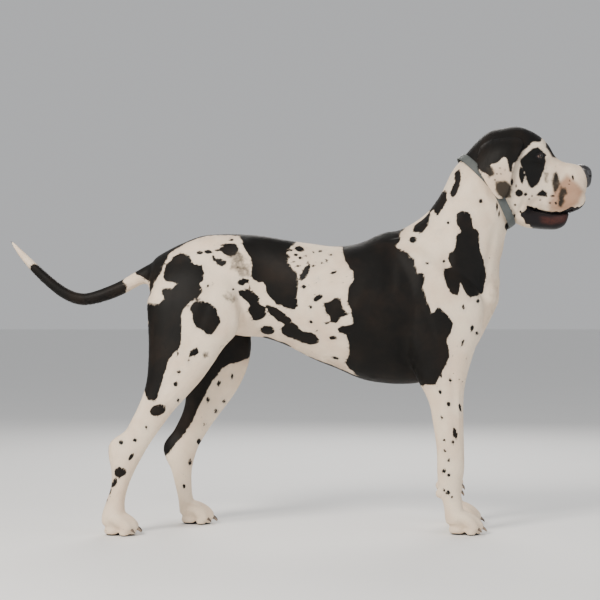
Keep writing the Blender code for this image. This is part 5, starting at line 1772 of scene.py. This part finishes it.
def tufts(name, place, out, fields, rng):
    """Closed, tapering tufts that lie along the coat, all in one mesh."""
    count = len(place)
    short = fields["short"]
    size = 1 - (1 - SHORT_SHARE) * short
    lie = lie_at(place, out)
    across = np.cross(lie, out)
    lie = lie + across * rng.normal(0, TUFT_STRAY, count)[:, None]
    lie /= np.linalg.norm(lie, axis=1)[:, None]
    across = np.cross(lie, out)
    rise = TUFT_LIFT * size + stand_out(place) * rng.uniform(*TIP_SHARE, count)
    length = TUFT_LENGTH * size * rng.uniform(*LENGTH_RANGE, count) + stand_out(place) * 1.5
    wide = (TUFT_WIDTH * size * rng.uniform(*WIDTH_RANGE, count) / 2)[:, None] * across
    thick = (TUFT_THICK * size)[:, None] * out
    root = place - out * TUFT_ROOT
    middle = place + lie * (length * 0.5)[:, None] + out * (rise * 0.62)[:, None]
    tip = place + lie * length[:, None] + out * rise[:, None]
    points = [root - wide, root + wide, root + thick * 2, middle - wide * 0.8, middle + wide * 0.8]
    points += [middle + thick, tip]
    co = np.stack(points, 1).reshape(-1, 3)
    per = len(points)
    faces = (np.arange(count)[:, None, None] * per + np.array(TUFT_FACES)).reshape(-1, 3)
    mesh = bpy.data.meshes.new(name)
    mesh.vertices.add(len(co))
    mesh.loops.add(faces.size)
    mesh.polygons.add(len(faces))
    mesh.loops.foreach_set("vertex_index", faces.ravel().astype(np.int32))
    mesh.polygons.foreach_set("loop_start", np.arange(0, faces.size, 3, dtype=np.int32))
    mesh.vertices.foreach_set("co", (co * MM).ravel())
    mesh.update(calc_edges=True)
    spread = {field: np.repeat(values, per) for field, values in fields.items()}
    write_fields(mesh, spread, np.repeat(place * MM, per, axis=0))
    flat = bake_place(place)[:, None, :] + np.array(TUFT_FLAT) * BAKE_PATCH / 2
    layer = mesh.uv_layers.new(name="OFBake")
    layer.data.foreach_set("uv", flat.reshape(-1, 2)[faces.ravel()].astype(np.float32).ravel())
    mesh.shade_smooth()
    mesh.normals_split_custom_set_from_vertices(np.repeat(out, per, axis=0).tolist())
    return mesh_object(name, mesh)


class DANE_OT_coat(bpy.types.Operator):
    """Lays short tufts along the coat, which stand out where the outline is rough"""

    bl_idname = "dane.coat"
    bl_label = "Coat"

    def execute(self, context):
        settings = context.scene.dane_coat
        skin = SHARED["skin"]
        rng = np.random.default_rng(settings.seed)
        count = settings.tufts // 1
        for name, low, high in COAT_PIECES:
            place, out, fields = draw_roots(skin, low, high, count, rng)
            piece = tufts(name, place, out, fields, rng)
            piece.data.materials.append(skin.data.materials[0])
            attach(piece, "root")
        return {"FINISHED"}


CORNEA_FROM = 0.80
CORNEA_BULGE = 0.045


def eye_ball(bm, radius):
    """An eyeball that looks along +Z, its cornea bulging a little."""
    bmesh.ops.create_uvsphere(bm, u_segments=48, v_segments=32, radius=radius)
    for v in bm.verts:
        tilt = v.co.normalized().z
        bulge = max(0.0, (tilt - CORNEA_FROM) / (1 - CORNEA_FROM))
        v.co *= 1 + CORNEA_BULGE * bulge * (2 - bulge)


class DANE_OT_eyes(bpy.types.Operator):
    """Sets the two eyes in their lids"""

    bl_idname = "dane.eyes"
    bl_label = "Eyes"

    def execute(self, context):
        settings = context.scene.dane_eye
        material = eye_material(tuple(settings.iris))
        for name, side in SIDES.items():
            eye = built(f"eyeball_{name}", eye_ball, settings.radius)
            mesh = eye.data
            local = coords(mesh) / settings.radius
            tilt = np.degrees(np.arctan2(np.hypot(local[:, 0], local[:, 1]), local[:, 2]))
            layer = mesh.attributes.new("tilt", "FLOAT", "POINT")
            layer.data.foreach_set("value", tilt.astype(np.float32))
            layer = mesh.attributes.new("round", "FLOAT_VECTOR", "POINT")
            layer.data.foreach_set("vector", local.astype(np.float32).ravel())
            turn, centre = eye_frame(side)
            move_to(mesh, (local * settings.radius) @ turn.T + centre * MM)
            mesh.shade_smooth()
            mesh.materials.append(material)
            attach(eye, "root")
            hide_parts(f"eye_{name}")
        return {"FINISHED"}


# The edges of pupil, iris and white, as angles from where the eye looks, in degrees.
PUPIL_EDGE = (17.0, 19.0)
IRIS_FADE = (14.0, 40.0)
IRIS_EDGE = (40.0, 44.0)


def eye_material(iris):
    """A dark brown iris with spokes and a darker rim, under a clear cornea."""
    g = Graph("wet eye")
    tilt = g.field("tilt")
    local = g.field("round", out="Vector")
    spokes = g.noise(g.mapped(local, scale=(1.0, 1.0, 0.1)), 14.0, 4.0)
    ring = g.mix(spokes.ramp(0.35, 0.7), tuple(c * 0.45 for c in iris), tuple(c * 1.7 for c in iris))
    ring = g.mix(tilt.ramp(*IRIS_FADE) * 0.5, ring, tuple(c * 0.3 for c in iris))
    white = g.mix(g.noise(local, 6.0, 4.0).ramp(0.4, 0.7), (0.30, 0.22, 0.18), (0.16, 0.08, 0.06))
    colour = g.mix(tilt.ramp(*IRIS_EDGE), ring, white)
    colour = g.mix(1.0 - tilt.ramp(*PUPIL_EDGE), colour, (0.002, 0.002, 0.002))
    g.set(Base_Color=colour, Roughness=0.09)
    g.shader.inputs["Specular IOR Level"].default_value = 0.25
    g.shader.inputs["Coat Weight"].default_value = 0.45
    g.shader.inputs["Coat Roughness"].default_value = 0.02
    return g.material


NOSTRIL_RADII = (9, 5.2, 5.6)
NOSTRIL_TURN = 0.3
SLIT_OFF = (-4, 8, -2)
SLIT_RADII = (7, 7, 2.2)
NOSE_VOXEL = 0.9
NOSE_GROOVE = {"deep": 1.3, "wide": 1.1, "from": 748, "full": 764}


def nose_cutters(side):
    """(place, radii, turn) of the hollows of a nostril and of the slit beside it."""
    x, y, z = NOSTRIL
    back, out, down = SLIT_OFF
    return (
        ((x, side * y, z), NOSTRIL_RADII, side * NOSTRIL_TURN),
        ((x + back, side * (y + out), z + down), SLIT_RADII, 0.0),
    )


class DANE_OT_nose(bpy.types.Operator):
    """The nose leather with its nostrils"""

    bl_idname = "dane.nose"
    bl_label = "Nose"

    def execute(self, context):
        nose = built("nose_leather", loft, NOSE, step=2.5, sides=64)
        for side in SIDES.values():
            for centre, radii, turn in nose_cutters(side):
                cutter = built("nostril", ball, centre, radii, turn=turn)
                cutter.hide_render = True
                hollow = nose.modifiers.new("hollow", "BOOLEAN")
                hollow.operation = "DIFFERENCE"
                hollow.solver = "EXACT"
                hollow.object = cutter
                settle(nose)
                drop(cutter)
        remesh = nose.modifiers.new("leather", "REMESH")
        remesh.mode = "VOXEL"
        remesh.voxel_size = NOSE_VOXEL * MM
        settle(nose)
        co = coords(nose.data) / MM
        groove = NOSE_GROOVE["deep"] * np.exp(-((co[:, 1] / NOSE_GROOVE["wide"]) ** 2))
        groove *= ease(co[:, 0], NOSE_GROOVE["from"], NOSE_GROOVE["full"])
        co -= coords(nose.data, "normal") * groove[:, None]
        move_to(nose.data, co * MM)
        soften(nose, 3)
        nose.data.shade_smooth()
        nose.data.materials.append(nose_material())
        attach(nose, "root")
        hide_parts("nose")
        return {"FINISHED"}


def nose_material():
    """Black leather with fine round cells."""
    g = Graph("nose leather")
    place = g.place()
    cells = g.add("ShaderNodeTexVoronoi", {"Vector": place, "Scale": 620.0}, out="Distance")
    tone = g.noise(place, 60.0, 3.0)
    colour = g.mix(tone.ramp(0.35, 0.75), (0.010, 0.009, 0.010), (0.032, 0.029, 0.031))
    g.set(Base_Color=colour, Roughness=0.30 + tone * 0.18)
    g.set(Normal=g.bump(1.0 - cells, 0.0006, 0.8))
    g.shader.inputs["Coat Weight"].default_value = 0.35
    g.shader.inputs["Coat Roughness"].default_value = 0.25
    return g.material


CLAW_STEP = 1.5
CLAW_SIDES = 18


def claw_horn(bm, line, y):
    """A claw along (x, z, radius) points, flattened across."""
    loft(bm, tube_rows(line, y, CLAW_FLAT), step=CLAW_STEP, sides=CLAW_SIDES)


class DANE_OT_claws(bpy.types.Operator):
    """The claws of the toes and the two dewclaws"""

    bl_idname = "dane.claws"
    bl_label = "Claws"

    def execute(self, context):
        material = claw_material()
        for name, side in SIDES.items():
            lead = fore_lead(side)
            for limb, heel, y in (("fore", FORE_HEEL + lead, FORE_Y), ("hind", HINDLEGS[name][1], HIND_Y)):
                for i, (across, tip, _) in enumerate(toe_places(heel, side * y)):
                    line = [(tip + x, z, r) for x, z, r in CLAW_PATH]
                    self.finish(f"claw_{limb}_{name}_{i + 1}", line, across, material)
            line = [(x + lead, z, r) for x, z, r in DEWCLAW]
            self.finish(f"dewclaw_{name}", line, side * DEWCLAW_Y, material)
        return {"FINISHED"}

    def finish(self, node, line, y, material):
        claw = built(f"horn_{node}", claw_horn, line, y)
        claw.data.shade_smooth()
        claw.data.materials.append(material)
        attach(claw, "root")
        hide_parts(node)


def claw_material():
    """Horn from brown to black, with a grain along it."""
    g = Graph("claw horn")
    place = g.place()
    grain = g.noise(g.mapped(place, scale=(0.2, 1.0, 1.0)), 900.0, 3.0)
    tone = g.noise(place, 45.0, 2.0)
    colour = g.mix(tone.ramp(0.4, 0.6), (0.30, 0.22, 0.16), (0.045, 0.035, 0.030))
    colour = g.mix(grain * 0.4, colour, (0.12, 0.09, 0.07))
    g.set(Base_Color=colour, Roughness=0.30 + grain * 0.2)
    g.set(Normal=g.bump(grain, 0.0003, 0.5))
    return g.material


WELD = 0.00005
QUAD_TURN = 0.7
QUAD_SHAPE = 3.1


class DANE_OT_collar(bpy.types.Operator):
    """The plain collar, without a lead"""

    bl_idname = "dane.collar"
    bl_label = "Collar"

    def execute(self, context):
        bm = bmesh.new()
        bm.from_mesh(bpy.data.objects["collar"].data)
        bmesh.ops.remove_doubles(bm, verts=bm.verts, dist=WELD)
        bmesh.ops.join_triangles(
            bm, faces=bm.faces, angle_face_threshold=QUAD_TURN, angle_shape_threshold=QUAD_SHAPE,
            cmp_seam=False, cmp_sharp=False, cmp_uvs=False, cmp_vcols=False, cmp_materials=False,
        )
        mesh = bpy.data.meshes.new("collar_band")
        bm.to_mesh(mesh)
        bm.free()
        band = mesh_object("collar_band", mesh)
        round_off = band.modifiers.new("round", "SUBSURF")
        round_off.levels = 2
        round_off.render_levels = 2
        settle(band)
        band.data.shade_smooth()
        band.data.materials.append(collar_material())
        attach(band, "root")
        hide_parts("collar")
        return {"FINISHED"}


def collar_material():
    """Grey green leather with a fine grain."""
    g = Graph("collar leather")
    place = g.place()
    grain = g.add("ShaderNodeTexVoronoi", {"Vector": place, "Scale": 900.0}, out="Distance")
    tone = g.noise(place, 30.0, 4.0)
    colour = g.mix(tone.ramp(0.3, 0.75), (0.045, 0.052, 0.050), (0.085, 0.095, 0.092))
    g.set(Base_Color=colour, Roughness=0.5 + tone * 0.2)
    g.set(Normal=g.bump(grain + tone, 0.0004, 0.6))
    return g.material


FLOOR_HALF = 60.0
WORLD_COLOUR = (0.92, 0.93, 0.95, 1)
WORLD_STRENGTH = 0.56
AIM = (0.0, 0.0, 0.55)
# Each lamp: its place, its size, its share of the main light's power and its colour.
LAMPS = {
    "key": ((-1.9, -2.8, 2.8), 1.1, 1.0, (1.0, 0.94, 0.86)),
    "fill": ((2.8, -2.2, 1.5), 2.2, 0.16, (0.90, 0.95, 1.0)),
    "rim": ((0.4, 2.8, 2.4), 2.0, 0.35, (1.0, 0.97, 0.93)),
}


class DANE_OT_stage(bpy.types.Operator):
    """Floor, soft lights and the camera at the photograph's viewing angle"""

    bl_idname = "dane.stage"
    bl_label = "Stage"

    def execute(self, context):
        settings = context.scene.dane_stage
        floor = built("floor", floor_sheet)
        g = Graph("pale floor")
        tone = g.noise(g.place(), 3.0, 4.0)
        pale = tuple(settings.floor)
        g.set(Base_Color=g.mix(tone * 0.25, pale, tuple(c * 0.86 for c in pale)), Roughness=0.7)
        floor.data.materials.append(g.material)
        world = bpy.data.worlds.new("studio")
        world.use_nodes = True
        background = world.node_tree.nodes["Background"]
        background.inputs["Color"].default_value = WORLD_COLOUR
        background.inputs["Strength"].default_value = WORLD_STRENGTH
        context.scene.world = world
        for name, (place, size, share, colour) in LAMPS.items():
            light = bpy.data.lights.new(name, "AREA")
            light.size = size
            light.energy = settings.key * share
            light.color = colour
            lamp = bpy.data.objects.new(name, light)
            lamp.location = place
            aim = Vector(AIM) - Vector(place)
            lamp.rotation_euler = aim.to_track_quat("-Z", "Y").to_euler()
            context.scene.collection.objects.link(lamp)
        camera = bpy.data.cameras.new("camera")
        camera.sensor_width = SENSOR
        camera.lens = SENSOR * settings.away / FRAME_WIDE
        camera.shift_x = (PIXELS / 2 - MID_COLUMN) / PIXELS
        middle = FLOOR_ROW - settings.high / (PIXEL_MM * MM)
        camera.shift_y = (middle - PIXELS / 2) / PIXELS
        eye = bpy.data.objects.new("camera", camera)
        eye.location = (0.0, -settings.away, settings.high)
        eye.rotation_euler = (math.pi / 2, 0.0, 0.0)
        context.scene.collection.objects.link(eye)
        context.scene.camera = eye
        return {"FINISHED"}


def floor_sheet(bm):
    bmesh.ops.create_grid(bm, x_segments=1, y_segments=1, size=FLOOR_HALF)


class DANE_PT_panel(bpy.types.Panel):
    """Lists the pieces"""

    bl_label = "Great dane"
    bl_idname = "DANE_PT_panel"
    bl_space_type = "VIEW_3D"
    bl_region_type = "UI"
    bl_category = "Dane"

    def draw(self, context):
        for piece in PIECE_OPERATORS:
            self.layout.operator(piece.bl_idname)
        for group, names in PANEL_GROUPS.items():
            settings = getattr(context.scene, group)
            for name in names:
                self.layout.prop(settings, name)


PIECE_OPERATORS = (
    DANE_OT_skin, DANE_OT_coat, DANE_OT_eyes, DANE_OT_nose, DANE_OT_claws, DANE_OT_collar, DANE_OT_stage,
)
PANEL_GROUPS = {
    "dane_coat": tuple("white cream grey black brown smoke pink red lip tufts seed".split()),
    "dane_eye": ("iris", "radius"),
    "dane_stage": ("away", "high", "key", "floor"),
}
GROUP_TYPES = {
    "dane_coat": DaneCoatSettings,
    "dane_eye": DaneEyeSettings,
    "dane_stage": DaneStageSettings,
}


def register():
    for group, kind in GROUP_TYPES.items():
        bpy.utils.register_class(kind)
        setattr(bpy.types.Scene, group, bpy.props.PointerProperty(type=kind))
    for kind in (*PIECE_OPERATORS, DANE_PT_panel):
        bpy.utils.register_class(kind)


def unregister():
    for kind in (DANE_PT_panel, *reversed(PIECE_OPERATORS)):
        bpy.utils.unregister_class(kind)
    for group, kind in GROUP_TYPES.items():
        delattr(bpy.types.Scene, group)
        bpy.utils.unregister_class(kind)


def main():
    register()
    bpy.ops.dane.skin()
    bpy.ops.dane.coat()
    bpy.ops.dane.eyes()
    bpy.ops.dane.nose()
    bpy.ops.dane.claws()
    bpy.ops.dane.collar()
    bpy.ops.dane.stage()


if __name__ == "__main__":
    main()
